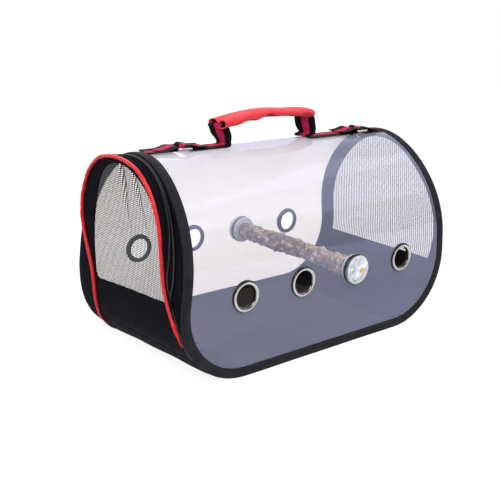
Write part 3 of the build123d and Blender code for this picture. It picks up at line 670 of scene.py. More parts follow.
# %% Base cloth, floor cloth
foot = np.arcsin((36 - 90) / 90)
turn = np.linspace(foot, -np.pi / 2, 34)
path = np.concatenate([np.stack([-130 - 90 * np.cos(turn), 90 + 90 * np.sin(turn), -np.cos(turn), np.sin(turn)], -1),
                       np.stack([np.linspace(-130, 130, 66)[1:-1], *np.zeros((2, 64)), -np.ones(64)], -1),
                       np.stack([130 + 90 * np.cos(turn), 90 + 90 * np.sin(turn), np.cos(turn), np.sin(turn)], -1)[::-1]])
path_run = np.concatenate([[0], np.cumsum(np.hypot(*np.diff(path[:, :2], axis=0).T))])
wide = np.linspace(-112.0, 112.0, 75)
gx, gz, nx, nz = (path[:, k:k + 1] for k in range(4))
slack = smooth_step(112 - abs(wide), 0, 14)[None] * smooth_step(np.minimum(path_run, path_run[-1] - path_run), 0, 30)[:, None]
corner = np.exp(-((path_run - 44) / 26) ** 2)[:, None] * (0.5 + 0.3 * smooth_step(wide, -10, 85))[None]
corner = corner + 0.5 * np.exp(-((path_run[-1] - path_run - 44) / 26) ** 2)[:, None]
bag = slack * (3.2 * corner + 0.5 * np.sin(wide[None] / 13 + path_run[:, None] / 19) * np.exp(-path_run[:, None] / 60))
bag = np.where(gz < 3, np.minimum(bag, 0.0), np.minimum(bag, np.maximum(gz - 0.5, 0) / np.maximum(-nz, 1e-3)))
base = np.stack(np.broadcast_arrays(gx + bag * nx, wide[None] + 0 * gx, gz + bag * nz), -1)
base_cloth = sewn("base_cloth", settled(base), "carrier", black_cloth, uv=spread(path_run, wide), thick=2.0,
                  replaces=["base_fabric"], slot="black_fabric")

u, v = np.meshgrid(np.linspace(-1, 1, 79), np.linspace(-1, 1, 67), indexing="ij")
corner_pull = 1 - 0.022 * (u * v) ** 8
fx, fy = 129 * u * corner_pull, 111.5 * v * corner_pull
quilt = 0.45 * abs(np.sin(np.pi * (fx + fy) / 52) * np.sin(np.pi * (fx - fy) / 52)) ** 0.5
liner = np.stack([fx, fy, 6.0 + quilt], -1)
floor_liner = sewn("floor_cloth", liner, "carrier", floor_cloth, uv=np.stack([fx, fy], -1), away=(0, 0, -100),
                   thick=1.0, replaces=["floor_liner"], slot="dark_liner")
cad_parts["base_board"].data.materials.clear()
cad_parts["base_board"].data.materials.append(board)
print("cloth under the cabin:", round(path_run[-1]), "mm long")
# %% [markdown]
# Each end is a ring of cloth round a window, drawn between two walked outlines that have the same
# spans, so that knot matches knot: crown, side, wall, corner, foot. The ring is worked out flat, in depth
# and height, and then laid on the leaning end.

# %% End panels
def stations(knots, step):
    """Ring parameter from crown to foot: knot k is at t = k, and spans are cut into steps of about equal length."""
    counts = np.maximum(np.round(np.diff(knots) / step).astype(int), 2)
    return np.concatenate([*(k + np.arange(n) / n for k, n in enumerate(counts)), [len(counts)]])


def ring_area(y, z):
    """Square metres of a flat closed ring of points: half the cross product of each quad's two diagonals, summed."""
    y, z = (np.concatenate([v, v[:1]]) for v in (y, z))
    first_y, first_z = y[1:, 1:] - y[:-1, :-1], z[1:, 1:] - z[:-1, :-1]
    other_y, other_z = y[:-1, 1:] - y[1:, :-1], z[:-1, 1:] - z[1:, :-1]
    return abs(first_y * other_z - first_z * other_y).sum() / 2e6


def marks(line, count):
    """An outline's knots, with the straight below its arch cut into equal lengths until there are count of them."""
    knots = line["knots"]
    cuts = np.linspace(knots[2], knots[3], count - len(knots) + 2)[1:-1]
    return np.concatenate([knots[:3], cuts, knots[3:]])


def ring_flat(inner, outer, step, columns, inner_place=place, outer_place=place):
    """Points between two outlines: y and z are each line's own, mixed by the share of the way out."""
    count = max(len(inner["knots"]), len(outer["knots"]))
    t = stations(marks(outer, count), step)
    t = np.concatenate([-t[::-1], t[1:-1]])
    share = np.linspace(0, 1, columns)[None]
    ends = []
    for line, placed in ((inner, inner_place), (outer, outer_place)):
        s = np.interp(abs(t), np.arange(count), marks(line, count))
        ends.append(placed(line, np.where(t < 0, -s, s))[:2])
    (iy, iz), (oy, oz) = ends
    return iy[:, None] * (1 - share) + oy[:, None] * share, iz[:, None] * (1 - share) + oz[:, None] * share, t, share


def leaned(hand, top_half, y, z, out=0.0):
    """Lay flat depth and height on an end: x is the end's half length there plus out, on that hand."""
    y, z, out = np.broadcast_arrays(y, z, out)
    return np.stack([hand * (end_x(top_half, z) + out), y, z], -1)


def sill_walk(top, arch_spans, wall_z, sill, half, radius):
    """An arch closed at the foot: down its wall to a corner of the given radius, then level to the middle."""
    return walk(top, [*arch_spans, (wall_z - sill - radius, STRAIGHT), (radius * np.pi / 2, radius),
                      (half - radius, STRAIGHT)])


lined = 2.8
rim_line = sill_walk(CROWN - lined, arched(HALF, 118, 88, lined), 118, 36.0, HALF - lined, 2.0)
fixed_line = sill_walk(CROWN - 15, arched(HALF, 118, 88, 15), 118, 76.0, HALF - 15, 2.5)


def fixed_warp(y, z):
    """Draw the window's lower front corner in by 7 mm, and lift its crown by 3 mm."""
    drawn = 7.0 * (1 - smooth_step(z, 70, 122)) * smooth_step(-y, 40, 95)
    return y + drawn, z + 3.0 * smooth_step(z, 190, 235)


ry, rz, t, share = ring_flat(fixed_line, rim_line, 4.0, 9)
wy, wz = fixed_warp(ry, rz)
ry, rz = wy * (1 - share) + ry * share, wz * (1 - share) + rz * share
wave = 0.5 * np.sin(ry / 17 + rz / 23) * np.sin(np.pi * share)
right_ring = leaned(1, END_TOP, ry, rz, wave)
right_cloth = sewn("fixed_end_cloth", right_ring, "carrier", black_cloth, uv=np.stack([ry, rz], -1), loop=(True, False),
                   thick=1.9, replaces=["right_panel"], slot="black_fabric")
print("fixed border, square metres:", round(ring_area(ry, rz), 4))


def half_width(line, z):
    """Half depth of an outline at a height, from its walk read against falling height."""
    order = np.argsort(line["z"])
    return np.interp(z, line["z"][order], line["y"][order], right=-1)


def net_sheet(name, line, hand, top_half, body, skin, warp, out, **rest):
    """A square grid of depth and height, kept where it is inside the window plus 4 mm, and laid on the end."""
    zs = np.linspace(line["z"].min() - 4, line["z"].max() + 4, 92)
    ys = np.linspace(-line["y"].max() - 4, line["y"].max() + 4, 104)
    z, y = np.meshgrid(zs, ys, indexing="ij")
    my, mz = (y[1:, 1:] + y[:-1, :-1]) / 2, (z[1:, 1:] + z[:-1, :-1]) / 2
    low, high = line["z"].min(), line["z"].max()
    inside = (abs(my) < half_width(line, np.clip(mz, low + 2, high - 1)) + 4)
    y, z = warp(y, z)
    return sewn(name, leaned(hand, top_half, y, z, out(y, z)), body, skin, uv=np.stack([y, z], -1),
                keep=inside.ravel(), **rest)


fixed_mesh = net_sheet("fixed_end_net", fixed_line, 1, END_TOP, "carrier", fixed_net, fixed_warp,
                       lambda y, z: -1.0 + 0.8 * np.sin(y / 21 + 1) * np.sin(z / 31), replaces=["right_mesh"],
                       slot="net_mesh")

# %% [markdown]
# The door hangs out a little at its crown. Its window is not symmetrical: the border is narrow at the
# front and broad at the rear, and the sill slopes. The same two-outline ring makes it, with the inner
# outline shifted by a smooth warp. The net is slack, and two folds run down from its crown.

# %% Door
door_arch = arched(94, 125, 83)
door_line = walk(245.0, [*door_arch, (35.0, STRAIGHT), flare, (3.7 - 1.0, STRAIGHT),
                         (np.pi / 2 + flare[0] / flare_radius, 1.0), (107.5, STRAIGHT)])
door_window = walk(231.0, [*arched(94, 125, 83, 14), (14.0, STRAIGHT), (8.0, STRAIGHT), (3.0, STRAIGHT),
                           (8 * np.pi / 2, 8.0), (72.0, STRAIGHT)])


def door_warp(y, z):
    """Widen the window to the front and narrow it to the rear; lift its crown; slope its sill, less with height."""
    y2 = np.where(y < 0, y * (1 + 0.12 * smooth_step(-y, 10, 70)), y * (1 - 0.11 * smooth_step(y, 10, 70)))
    y2 = y2 - np.minimum(swell(z, True), 3.0) * smooth_step(-y, 15, 70) * (z > 98)
    near_sill = 1 - smooth_step(z, 95, 165)
    z2 = z + near_sill * (1.5 - 0.085 * y) + 10.0 * smooth_step(z, 170, 231) * (1 - 0.35 * smooth_step(y, 0, 60))
    return y2, z2


print("door window foot:", round(float(door_window["y"][-1]), 1), round(float(door_window["z"][-1]), 1))
dy, dz, t, share = ring_flat(door_window, door_line, 4.0, 10, outer_place=swollen)
wy, wz = door_warp(dy, dz)
dy, dz = wy * (1 - share) + dy * share, wz * (1 - share) + dz * share
pad = 0.7 * np.sin(np.pi * share) + 0.35 * np.sin(dy / 14 + dz / 19) * np.sin(np.pi * share)
door_cloth = sewn("door_cloth", settled(leaned(-1, DOOR_TOP, dy, dz, pad - 0.2)), "left_door", black_cloth,
                  uv=np.stack([dy, dz], -1), loop=(True, False), thick=1.7, replaces=["door_panel"], slot="black_fabric")
print("door border, square metres:", round(ring_area(dy, dz), 4))


def net_folds(y, z):
    """Slack net: two folds that fade downwards from the crown, and a slow wave."""
    down = smooth_step(z, 178, 222)
    folds = 4.5 * np.exp(-((y + 2 + (232 - z) * 0.25) / 3.2) ** 2) + 3.2 * np.exp(-((y + 27 + (232 - z) * 0.44) / 3.6) ** 2)
    return -1.2 - down * folds + 0.7 * np.sin(y / 24) * np.sin(z / 33 + 1)


door_mesh = net_sheet("door_net", door_window, -1, DOOR_TOP, "left_door", door_net, door_warp, net_folds,
                      replaces=["door_mesh"], slot="net_mesh")
co = np.empty(len(door_mesh.data.vertices) * 3, np.float32)
door_mesh.data.vertices.foreach_get("co", co)
net_y, net_z = co[1::3] * 1000, co[2::3] * 1000
shade = np.exp(-((net_y + 2 + (232 - net_z) * 0.25) / 1.7) ** 2) + np.exp(-((net_y + 27 + (232 - net_z) * 0.44) / 1.5) ** 2)
shade = shade * smooth_step(net_z, 150, 215)
door_mesh.data.attributes.new("fold", "FLOAT", "POINT").data.foreach_set("value", shade.astype(np.float32))

# %% [markdown]
# Behind the door's edge a soft gusset closes the wedge to the frame, and it buckles in long ridges. The
# frame is the last ring of cloth, and round its inner edge runs the zip. A nylon zip's teeth are a coil,
# so each half is a tube whose radius swells once every tooth.

# %% Frame, gusset and zip
def low_swollen(line, s, inset=0.0):
    """The swell of the door's edge as far as its frame has it: at the foot, where the two lie together."""
    return swollen(line, s, inset, low_only=True)


opening = walk(245.3, [*arched(94, 125, 83, -0.3), (35.0, STRAIGHT), (flare[0] * 0.998, flare[1] + 0.3),
                       (3.7 - 1.0, STRAIGHT), (np.pi / 2 + flare[0] / flare_radius, 1.0), (107.5, STRAIGHT)])
fy, fz, t, share = ring_flat(opening, rim_line, 4.0, 5, inner_place=low_swollen)
frame_cloth = sewn("door_frame_cloth", settled(leaned(-1, END_TOP, fy, fz, 0.0)), "carrier", black_cloth,
                   uv=np.stack([fy, fz], -1), loop=(True, False), thick=1.9, replaces=["left_frame"],
                   slot="black_fabric")
print("frame border, square metres:", round(ring_area(fy, fz), 4))

s = np.linspace(-1, 1, 201) * (door["knots"][3] + 8)
share = np.linspace(0, 1, 34)[None]
y, z, ny, nz = (v[:, None] for v in swollen(door, s))
frame_y, frame_z = (v[:, None] for v in low_swollen(door, s)[:2])
y, z = y * (1 - share) + frame_y * share, z * (1 - share) + frame_z * share
near, far = end_x(DOOR_TOP, z), end_x(END_TOP, z) + 0.8
width = near - far
ridge = (0.5 - 0.5 * np.cos(2 * np.pi * (2.6 * share + 0.12 * np.sin(s[:, None] / 40)))) * np.clip(width / 12, 0.15, 1)
bulge = 2.6 * ridge * np.sin(np.pi * share) ** 0.6 - 0.6 + 0.5 * np.sin(s[:, None] / 23) * np.sin(np.pi * share)
gusset = np.stack(np.broadcast_arrays(-(near * (1 - share) + far * share), y + bulge * ny, z + bulge * nz), -1)
girth = np.linspace(0, 1, 34) * 24
gusset_cloth = sewn("door_gusset_cloth", settled(gusset), "left_door", black_cloth, uv=spread(s, girth), thick=1.2,
                    replaces=["door_gusset"], slot="black_fabric")


def coil(name, inset, out, radius, body, replaces, span, on_gusset):
    """Zip coil: a tube whose radius swells by a fifth once every 2.2 mm of its run. It lies on the frame's edge, or
    on the gusset, whose depth and height it mixes from the door's and the frame's by its share of the way across."""
    s = np.linspace(-span, span, int(span * 2 / 0.55))
    y, z, ny, nz = low_swollen(door, s, -inset)
    width = np.maximum(end_x(DOOR_TOP, z) - end_x(END_TOP, z), 0.01)
    out = np.minimum(out, 0.8 * width) if on_gusset else out
    across = out / width * on_gusset
    door_y, door_z = swollen(door, s, -inset)[:2]
    y, z = y * (1 - across) + door_y * across, z * (1 - across) + door_z * across
    out = out * smooth_step(z, 84, 118) - 0.6 * (1 - smooth_step(z, 84, 118))
    path = settled(np.stack([-(end_x(END_TOP, z) + out), y, z], -1))
    side = np.stack([np.zeros_like(y), ny, nz], -1)
    lift = np.stack([-np.ones_like(y), 0 * y, 0 * z], -1)
    section = round_section(10, 1, 1)[None] * (radius * (1 + 0.2 * np.sin(2 * np.pi * s / 2.2)))[:, None, None]
    grid = capped(carried(path, side, lift, section))
    return sewn(name, grid, body, nylon, loop=(False, True), closed=True, replaces=replaces, slot="black_zip")


coil("frame_zip_coil", 1.9, 1.5, 1.25, "carrier", ["frame_zip"], door["knots"][-1], False)
coil("door_zip_coil", 1.2, 4.6, 1.25, "left_door", ["door_zip"], door["knots"][3], True)

# %% [markdown]
# Piping is a cord wrapped in satin and caught in the seam. It is a round profile carried along the
# outline, thinned to a point where it runs out under the base, and it puckers a little where the seam
# gathers it.

# %% Piping
def piping(name, line, front, rear, inset, hand, top_half, body, replaces, radius=2.15, goes_on=0.0):
    """Round profile along an outline, from its front foot to its rear one; it thins to a third at both ends, or not
    at the rear where it goes on as another piece."""
    s = np.linspace(-front, rear, 420)
    y, z, ny, nz = (swollen if hand < 0 else place)(line, s, inset)
    taper = 0.35 + 0.65 * smooth_step(np.minimum(s + front, rear + goes_on - s), 0, 22)
    pucker = 1 + 0.05 * np.sin(s / 2.3 + 1.3 * np.sin(s / 9)) + 0.03 * np.sin(s / 5.1)
    path = np.stack([hand * (end_x(top_half, z) + 0.9 * radius * taper), y, z], -1)
    path = settled(path)
    side = np.stack([0 * y, ny, nz], -1)
    lift = np.stack([hand + 0 * y, 0 * y, 0 * z], -1)
    section = round_section(14, radius, radius)[None] * (taper * pucker)[:, None, None]
    grid = capped(carried(path, side, lift, section))
    around = np.linspace(0, 2 * np.pi * radius, 15)
    long = np.concatenate([s[:1], s, s[-1:]])
    return sewn(name, grid, body, piping_skin, uv=spread(long, around), loop=(False, True), closed=True,
                replaces=replaces, slot="red_piping")


girth = door["knots"][-1]
piping("door_edge_piping", door, girth - 17, girth - 14, 1.6, -1, DOOR_TOP, "left_door", ["door_piping"], goes_on=15.0)
girth = cabin["knots"][2] + 118 - 37
piping("fixed_edge_piping", cabin, girth, girth, 7.75, 1, END_TOP, "carrier", ["right_piping"])
angle = np.linspace(0.365, 0.73, 90) * np.pi / 2
tail_y = np.interp(angle, np.array([0.365, 0.478, 0.73]) * np.pi / 2, [82.3, 89.8, 98.2])
lift = 1 - smooth_step(angle, 0.62, 0.85)
stand = 90.5 + 1.2 * lift + np.interp(90 * (angle + foot), path_run, bag[:, np.argmin(abs(wide - 94))])
tail = settled(np.stack([-130 - stand * np.cos(angle), tail_y, 90 - stand * np.sin(angle)], -1))
along = unit(np.gradient(tail, axis=0))
side = unit(np.cross(along, np.stack([-np.cos(angle), 0 * angle, -np.sin(angle)], -1)))
thin = 1 - 0.7 * smooth_step(angle, 0.82, angle[-1])
section = round_section(14, 1.9, 1.15)[None] * np.stack([thin, thin * (1 + 0.6 * lift)], -1)[:, None]
sewn("piping_tail", capped(carried(tail, side, unit(np.cross(side, along)), section)), "carrier", piping_skin,
     uv=spread(np.arange(92) * 0.9, np.linspace(0, 12, 15)), loop=(False, True), closed=True, slot="red_piping")
for node in ("left_hoop", "right_hoop"):
    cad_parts[node].data.materials.clear()
    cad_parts[node].data.materials.append(solid_cloth)
print("ends done")
# %% [markdown]
# An eyelet is a pressed ring: a domed flange outside, a barrel through the film, and a rolled edge that
# grips a washer inside. It is a lathe form, so one half section is turned about the eyelet's axis, and
# the same array is moved to each of the eight places.

# %% Eyelets
def turned_form(radius, height, side, centre_x, steps=64):
    """Turn a half section (radius, height) about an axis across the cabin; height is out from the film's face."""
    a = np.linspace(0, 2 * np.pi, steps, endpoint=False)[:, None]
    x, z = centre_x + radius[None] * np.cos(a), EYELET_Z + radius[None] * np.sin(a)
    return np.stack([x, side * (FILM_FACE + height[None] + 0 * a), z], -1)


dome = np.linspace(0, np.pi, 13)
roll = np.linspace(np.pi, -np.pi / 2, 7)
section_r = np.concatenate([16.45 + 2.65 * np.cos(dome), 13.8 - 0.3 * np.sin(np.linspace(0.3, 1.5, 4)), [13.5, 13.5]])
section_h = np.concatenate([2.3 * np.sin(dome) ** 0.75, 0.2 - 0.5 * np.linspace(0.3, 1.5, 4), [-1.4, -2.4]])
curl = np.linspace(np.pi, 0, 7)
washer_r = np.concatenate([[13.5], 14.6 + 1.1 * np.cos(curl), [16.0, 18.4, 18.9, 18.6, 14.4]])
washer_h = np.concatenate([[-2.0], -2.7 - 0.5 * np.sin(curl), [-2.3, -2.2, -1.6, -0.9, -0.9]])
for side, wall in ((-1, "front"), (1, "rear")):
    for number, x in enumerate(EYELETS, 1):
        ring = turned_form(section_r, section_h, side, x)
        eyelet = sewn(f"{wall}_eyelet_ring_{number}", ring, "carrier", nickel, loop=(True, False),
                      away=(x, side * 113, EYELET_Z), replaces=[f"{wall}_eyelet_{number}"], slot="nickel_plate")
        co = np.empty(len(eyelet.data.vertices) * 3, np.float32)
        eyelet.data.vertices.foreach_get("co", co)
        r = np.hypot(co[0::3] * 1000 - x, co[2::3] * 1000 - EYELET_Z)
        # Painted shade and dark reflection, kept on the ring: 1 beyond a radius of 18.4 mm and within 13.8 mm.
        painted_edge_shade = smooth_step(r, 17.4, 18.4) + 1 - smooth_step(r, 13.8, 14.8)
        eyelet.data.attributes.new("painted_edge_shade", "FLOAT", "POINT").data.foreach_set("value", painted_edge_shade.astype(np.float32))
        sewn(f"{wall}_washer_ring_{number}", turned_form(washer_r, washer_h, side, x), "carrier", washer_steel,
             loop=(True, True), closed=True, replaces=[f"{wall}_washer_{number}"], slot="nickel_plate")

# %% [markdown]
# The perch is a natural branch, knobbly with cut knots. Its surface is a radius worked out over angle
# and length: a slow wander, bark ridges and some two hundred seeded bumps. Each bump is a smooth hill, and
# its height is kept as an attribute, which the bark's material reads to bring out the pale wood and to
# paint shade between the bumps.

# %% Perch
PERCH_X, BRANCH_HALF = EYELETS[2], 107.8
rng = np.random.default_rng(7)
along = np.linspace(-BRANCH_HALF, BRANCH_HALF, 240)[:, None]
angle = np.linspace(0, 2 * np.pi, 96, endpoint=False)[None]
ease = np.sin(np.pi * (along + BRANCH_HALF) / (2 * BRANCH_HALF)) ** 0.5
radius = 11.5 + 0.7 * np.sin(along / 19) + 0.5 * np.sin(along / 7 + 2 * angle) + 0.35 * np.sin(5 * angle + along / 11)
knots = np.zeros((240, 96))
for _ in range(240):
    ky, ka, size, height = rng.uniform(-104, 104), rng.uniform(0, 2 * np.pi), rng.uniform(1.5, 3.3), rng.uniform(0.4, 1.9)
    arc = (np.angle(np.exp(1j * (angle - ka)))) * 12.3
    knots += height * np.exp(-(((along - ky) / size) ** 2 + (arc / (0.8 * size)) ** 2))
radius = radius + knots + 0.25 * np.sin(9 * angle + along / 3.1) * np.sin(along / 2.3)
cx, cz = PERCH_X + 1.3 * ease * np.sin(along / 33), EYELET_Z + 1.2 * ease * np.cos(along / 27 + 1)
branch = np.stack([cx + radius * np.cos(angle), along + 0 * angle, cz + radius * np.sin(angle)], -1)
perch = sewn("pepper_wood_branch", capped(branch), "carrier", bark_skin, loop=(False, True), closed=True,
             replaces=["perch_branch"], slot="pepper_wood")
level_of = np.concatenate([[0], (knots / knots.max()).ravel(), [0]])
perch.data.attributes.new("knot", "FLOAT", "POINT").data.foreach_set("value", level_of.astype(np.float32))
print("perch knots stand up to, mm:", round(float(knots.max()), 2), len(perch.data.vertices))

# %% [markdown]
# The perch is held by acrylic discs inside and out, pulled together by a wing nut on a brass bolt. The
# outer disc is moulded with ribs like a flower's petals, so its height waves with the angle.

# %% Perch fittings
def ribbed_disc(name, low, high, side, ribs_count, depth, node, dish=0.0):
    """Lathe disc whose top sinks by depth times the sine of the angle's multiple, more in the middle of its radius."""
    r = np.array([3.3, 3.3, 4.5, 7, 9, 11, 13, 15, 16.6, 17.8, 18.5, 18.3, 17.2, 15.6, 14.9, 10, 3.3])
    rise = dish * smooth_step(r, 6.5, 16)
    top = np.array([-9, -0.3, 0, 0, 0, 0, 0, 0, 0, -0.2, -0.9, -1.9, -3.2, -9, -9, -9, -9]) + high
    h = np.maximum(top + rise, low)
    grid = turned_form(r, h, side, PERCH_X, 96)
    a = np.linspace(0, 2 * np.pi, 96, endpoint=False)[:, None]
    dip = depth * (0.5 - 0.5 * np.cos(ribs_count * a)) * np.exp(-((r[None] - 12) / 4.5) ** 2) * (top[None] > high - 0.5)
    grid[..., 1] -= side * dip
    return sewn(name, grid, "carrier", acrylic, loop=(True, True), closed=True, replaces=[node], slot="clear_acrylic")


def wing_nut(name, side, body, node):
    """Hub and two wings in one round of angles: the wings' reach and height grow with the cosine's power."""
    a = np.linspace(0, 2 * np.pi, 96, endpoint=False)[:, None]
    wing = abs(np.cos(a - 2.35 * side)) ** 10
    u = np.linspace(0, 1, 16)[None]
    r = 3.1 + (3.4 + 8.4 * wing) * np.sin(np.pi * np.clip(u, 0, 1)) ** 0.5
    h = 5.3 + (7.0 + 2.6 * wing) * (0.5 - 0.5 * np.cos(np.pi * u)) - 0.4 * wing * np.sin(np.pi * u)
    x, z = PERCH_X + r * np.cos(a), EYELET_Z + r * np.sin(a)
    grid = np.stack([x, side * (FILM_FACE + h), z], -1)
    return sewn(name, grid, body, acrylic, loop=(True, False), closed=True, replaces=[node], slot="clear_acrylic")


for side, wall in ((-1, "front"), (1, "rear")):
    ribbed_disc(f"{wall}_outer_perch_disc", 2.4, 5.1, side, 8, 2.3, f"{wall}_outer_disc", 1.9)
    ribbed_disc(f"{wall}_inner_perch_disc", -5.9, -3.1, side, 8, 0.2, f"{wall}_inner_disc")
    wing_nut(f"{wall}_perch_wing_nut", side, f"{wall}_wing_nut", f"{wall}_wing_nut")
    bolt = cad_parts[f"{wall}_stud"]
    bolt.data.materials.clear()
    bolt.data.materials.append(brass)
for node in ("zip_slider", "zip_pull"):
    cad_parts[node].data.materials.clear()
    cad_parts[node].data.materials.append(lacquer)
print("fittings done")
# %% [markdown]
# The handle and its straps are one kind of webbing, 30 mm wide, striped in thirds. Each length is a
# flattened section carried along a line seen from the front. The line is given by a few corner points
# and softened by cutting its corners, as a folded strap's bends are round. The handle's own length runs
# from ring to ring, and rises off the roof into the bow.

# %% Webbing
def softened(points, rounds=3):
    """Cut every corner: each pair of points gives two, a quarter and three quarters of the way, some rounds over."""
    line = np.array(points, float)
    for _ in range(rounds):
        a, b = line[:-1], line[1:]
        line = np.concatenate([line[:1], np.stack([0.75 * a + 0.25 * b, 0.25 * a + 0.75 * b], 1).reshape(-1, 2), line[-1:]])
    return line


def webbing(name, points, body, replaces, width=30.0, gauge=1.4, cup=0.9, turn=0.0):
    """Flattened section along an x-z line: side is +y, turned about upright where the line is steep, and lift is
    the line's own normal; edges cup a little."""
    line = softened(points)
    run = np.concatenate([[0], np.cumsum(np.hypot(*np.diff(line, axis=0).T))])
    even = np.linspace(0, run[-1], max(int(run[-1] / 1.2), 12))
    line = np.stack([np.interp(even, run, line[:, 0]), np.interp(even, run, line[:, 1])], -1)
    along = unit(np.gradient(line, axis=0))
    path = np.stack([line[:, 0], 0 * even, line[:, 1]], -1)
    twist = turn * abs(along[:, 1]) * smooth_step(line[:, 1], 252, 264) * (1 - smooth_step(line[:, 1], 275, 281))
    side = np.stack([-np.sin(twist), np.cos(twist), 0 * even], -1)
    lift = unit(np.cross(np.stack([along[:, 0], 0 * even, along[:, 1]], -1), side))
    section = round_section(40, width / 2, gauge / 2, 5)
    section[:, 1] -= cup * (section[:, 0] / (width / 2)) ** 2
    grid = capped(carried(path, side, lift, section[None] + np.zeros((len(even), 1, 1))))
    v = np.concatenate([section[:, 0], section[:1, 0]])
    return sewn(name, grid, body, webbing_skin, uv=spread(np.concatenate([[0], even, even[-1:]]), v), loop=(False, True),
                closed=True, replaces=replaces, slot="striped_webbing")


def ring_loop(hand, bar, reach, sewn_x):
    """Corner points of a strap looped round a ring's bar: sewn end, up to the bar, round it and back along the roof."""
    out = 1 if abs(bar) < 147 else -1
    k = hand * out
    return [(sewn_x, 251.3), (bar - k * 13, 251.6), (bar - k * 5, 254.0), (bar + k * 0.5, 255.0), (bar + k * 2.9, 253.6),
            (bar + k * 2.7, 250.9), (bar, 249.8), (bar - k * 6, 249.75), (reach, 249.75)]


for hand, word in ((-1, "left"), (1, "right")):
    webbing(f"{word}_tab_webbing", ring_loop(hand, hand * 156, hand * 191.5, hand * 180), "carrier", [f"{word}_tab"])

left_ring = ring_loop(-1, -138.0, -84, -113)
right_ring = ring_loop(1, 138.0, 58, 113)


def bow_height(x):
    """Middle height of the handle's bow: an arc of 317 mm, flattened, and lower towards the door end."""
    return -30.5 + np.sqrt(317 ** 2 - (x + 13) ** 2) - 1.6 - 0.4 * smooth_step(-x, 10, 95) + 3.3 * smooth_step(x, 10, 60)


bow = [(x, bow_height(x) - 0.5) for x in (-80, -60, -36, -12, 12, 30, 43)]
over = [*left_ring, (-81.5, 249.9), (-79.9, 251.2), (-81.2, 254.5), (-87.3, 270), (-89.6, 273.5), (-87.8, 276.0), *bow,
        (50.5, 280.5), (53.2, 276.5), (54.4, 268), (58.0, 258.0), (59.6, 253.6), (54.6, 252.0), (50.6, 251.2), (50.4, 249.8),
        (57.0, 249.75), *right_ring[::-1]]
handle_webbing = webbing("handle_webbing", over, None, ["left_strap", "right_strap", "handle_web"], turn=0.38)
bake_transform(handle_webbing)

# %% [markdown]
# Two wire rings join the straps to the tabs. A ring is a bent and welded wire, so it is a round section
# carried round a rectangle whose corners are quarter circles.

# %% Rings
def wire_ring(name, centre_x, node, half_x=9.0, half_y=18.5, corner=4.0, wire=1.5, level_z=252.2):
    """A rounded rectangle: a superellipse of high power gives the straight sides and the eased corners."""
    t = np.linspace(0, 2 * np.pi, 120, endpoint=False)
    c, s = np.cos(t), np.sin(t)
    path = np.stack([centre_x + half_x * np.sign(c) * abs(c) ** 0.28, half_y * np.sign(s) * abs(s) ** 0.28,
                     np.full(120, level_z)], -1)
    along = unit(np.roll(path, -1, 0) - np.roll(path, 1, 0))
    lift = np.tile([0.0, 0.0, 1.0], (120, 1))
    side = unit(np.cross(along, lift))
    grid = carried(path, side, lift, round_section(12, wire, wire)[None] + np.zeros((120, 1, 1)))
    return sewn(name, grid, "carrier", nickel, loop=(True, True), closed=True, replaces=[node], slot="nickel_plate")


for hand, word in ((-1, "left"), (1, "right")):
    wire_ring(f"{word}_strap_ring", hand * 147.0, f"{word}_ring")

# %% [markdown]
# The grip is a foam pad in a folded red cloth that is closed along its underside. It is one soft closed
# form: a flattened ring carried along the bow. At the door end it opens in two lobes over the webbing,
# and the lower hem ripples where the cloth is gathered.

# %% Grip
a = np.linspace(0, 2 * np.pi, 80, endpoint=False)[None]
gx = np.concatenate([np.linspace(-72, -89, 6), np.linspace(-89.6, 58.5, 190)])[:, None]
inside = (np.arange(len(gx)) < 6)[:, None]
near_left = np.exp(-(gx + 89.5) / 10)
half_w = 16.6 + 0.5 * np.sin(gx / 15) + 1.2 * near_left
half_h = 5.4 - 0.3 * near_left - 1.0 * smooth_step(gx, -30, 25) + 1.9 * smooth_step(gx, 15, 56) + 0.25 * np.sin(gx / 19 + 1)
ca, sa = np.cos(a), np.sin(a)
sy = half_w * np.sign(ca) * abs(ca) ** 0.72
sz = half_h * np.sign(sa) * abs(sa) ** 0.7
top_dent = near_left * (4.6 * np.exp(-((sy + 1.5) / 4.6) ** 2) - 0.8) * (sa > 0)
drop = -1.0 * np.exp(-((gx + 64) / 20) ** 2) - 1.2 * np.exp(-((gx + 40) / 7) ** 2) + 2.0 * np.exp(-((gx + 17) / 8) ** 2)
drop = drop + 0.6 * np.sin(gx / 4.9) + 1.4 * smooth_step(gx, 28, 46)
hem = (sa < 0) * smooth_step(-sy, 4, 15) * drop + (sa < 0) * smooth_step(sy, 4, 15) * 1.2 * np.sin(gx / 9)
crease = -0.55 * np.exp(-((sy + 6 - gx / 40) / 1.6) ** 2) - 0.5 * np.exp(-((sy - 5 - gx / 55) / 1.5) ** 2)
crease = crease * smooth_step(sa, 0.1, 0.5) * smooth_step(gx, -88, -60) * (1 - smooth_step(gx, 40, 62))
size = (1 - 0.2 * np.exp(-(58.5 - gx) / 1.0)) * np.where(inside, 0.86, 1.0)
grip_grid = np.stack(np.broadcast_arrays(gx, sy * size, bow_height(gx) + (sz - top_dent + hem + crease) * size), -1)
grip = sewn("grip_sleeve", capped(grip_grid), "handle", grip_cloth, uv=spread(np.arange(len(gx) + 2) * 0.81,
            np.linspace(0, 90, 81)), loop=(False, True), closed=True, replaces=["grip"], slot="red_fabric")
core_x = np.linspace(-84, 50, 60)[:, None]
foam_y, foam_z = 12.4 * np.sign(ca) * abs(ca) ** 0.8, (2.9 - 0.9 * smooth_step(core_x, -20, 45)) * np.sign(sa) * abs(sa) ** 0.7
core_dent = 3.0 * np.exp(-(core_x + 84) / 9) * np.exp(-((foam_y + 1.5) / 4.6) ** 2) * (sa > 0)
core_grid = np.stack(np.broadcast_arrays(core_x, foam_y, bow_height(core_x) + foam_z - core_dent), -1)
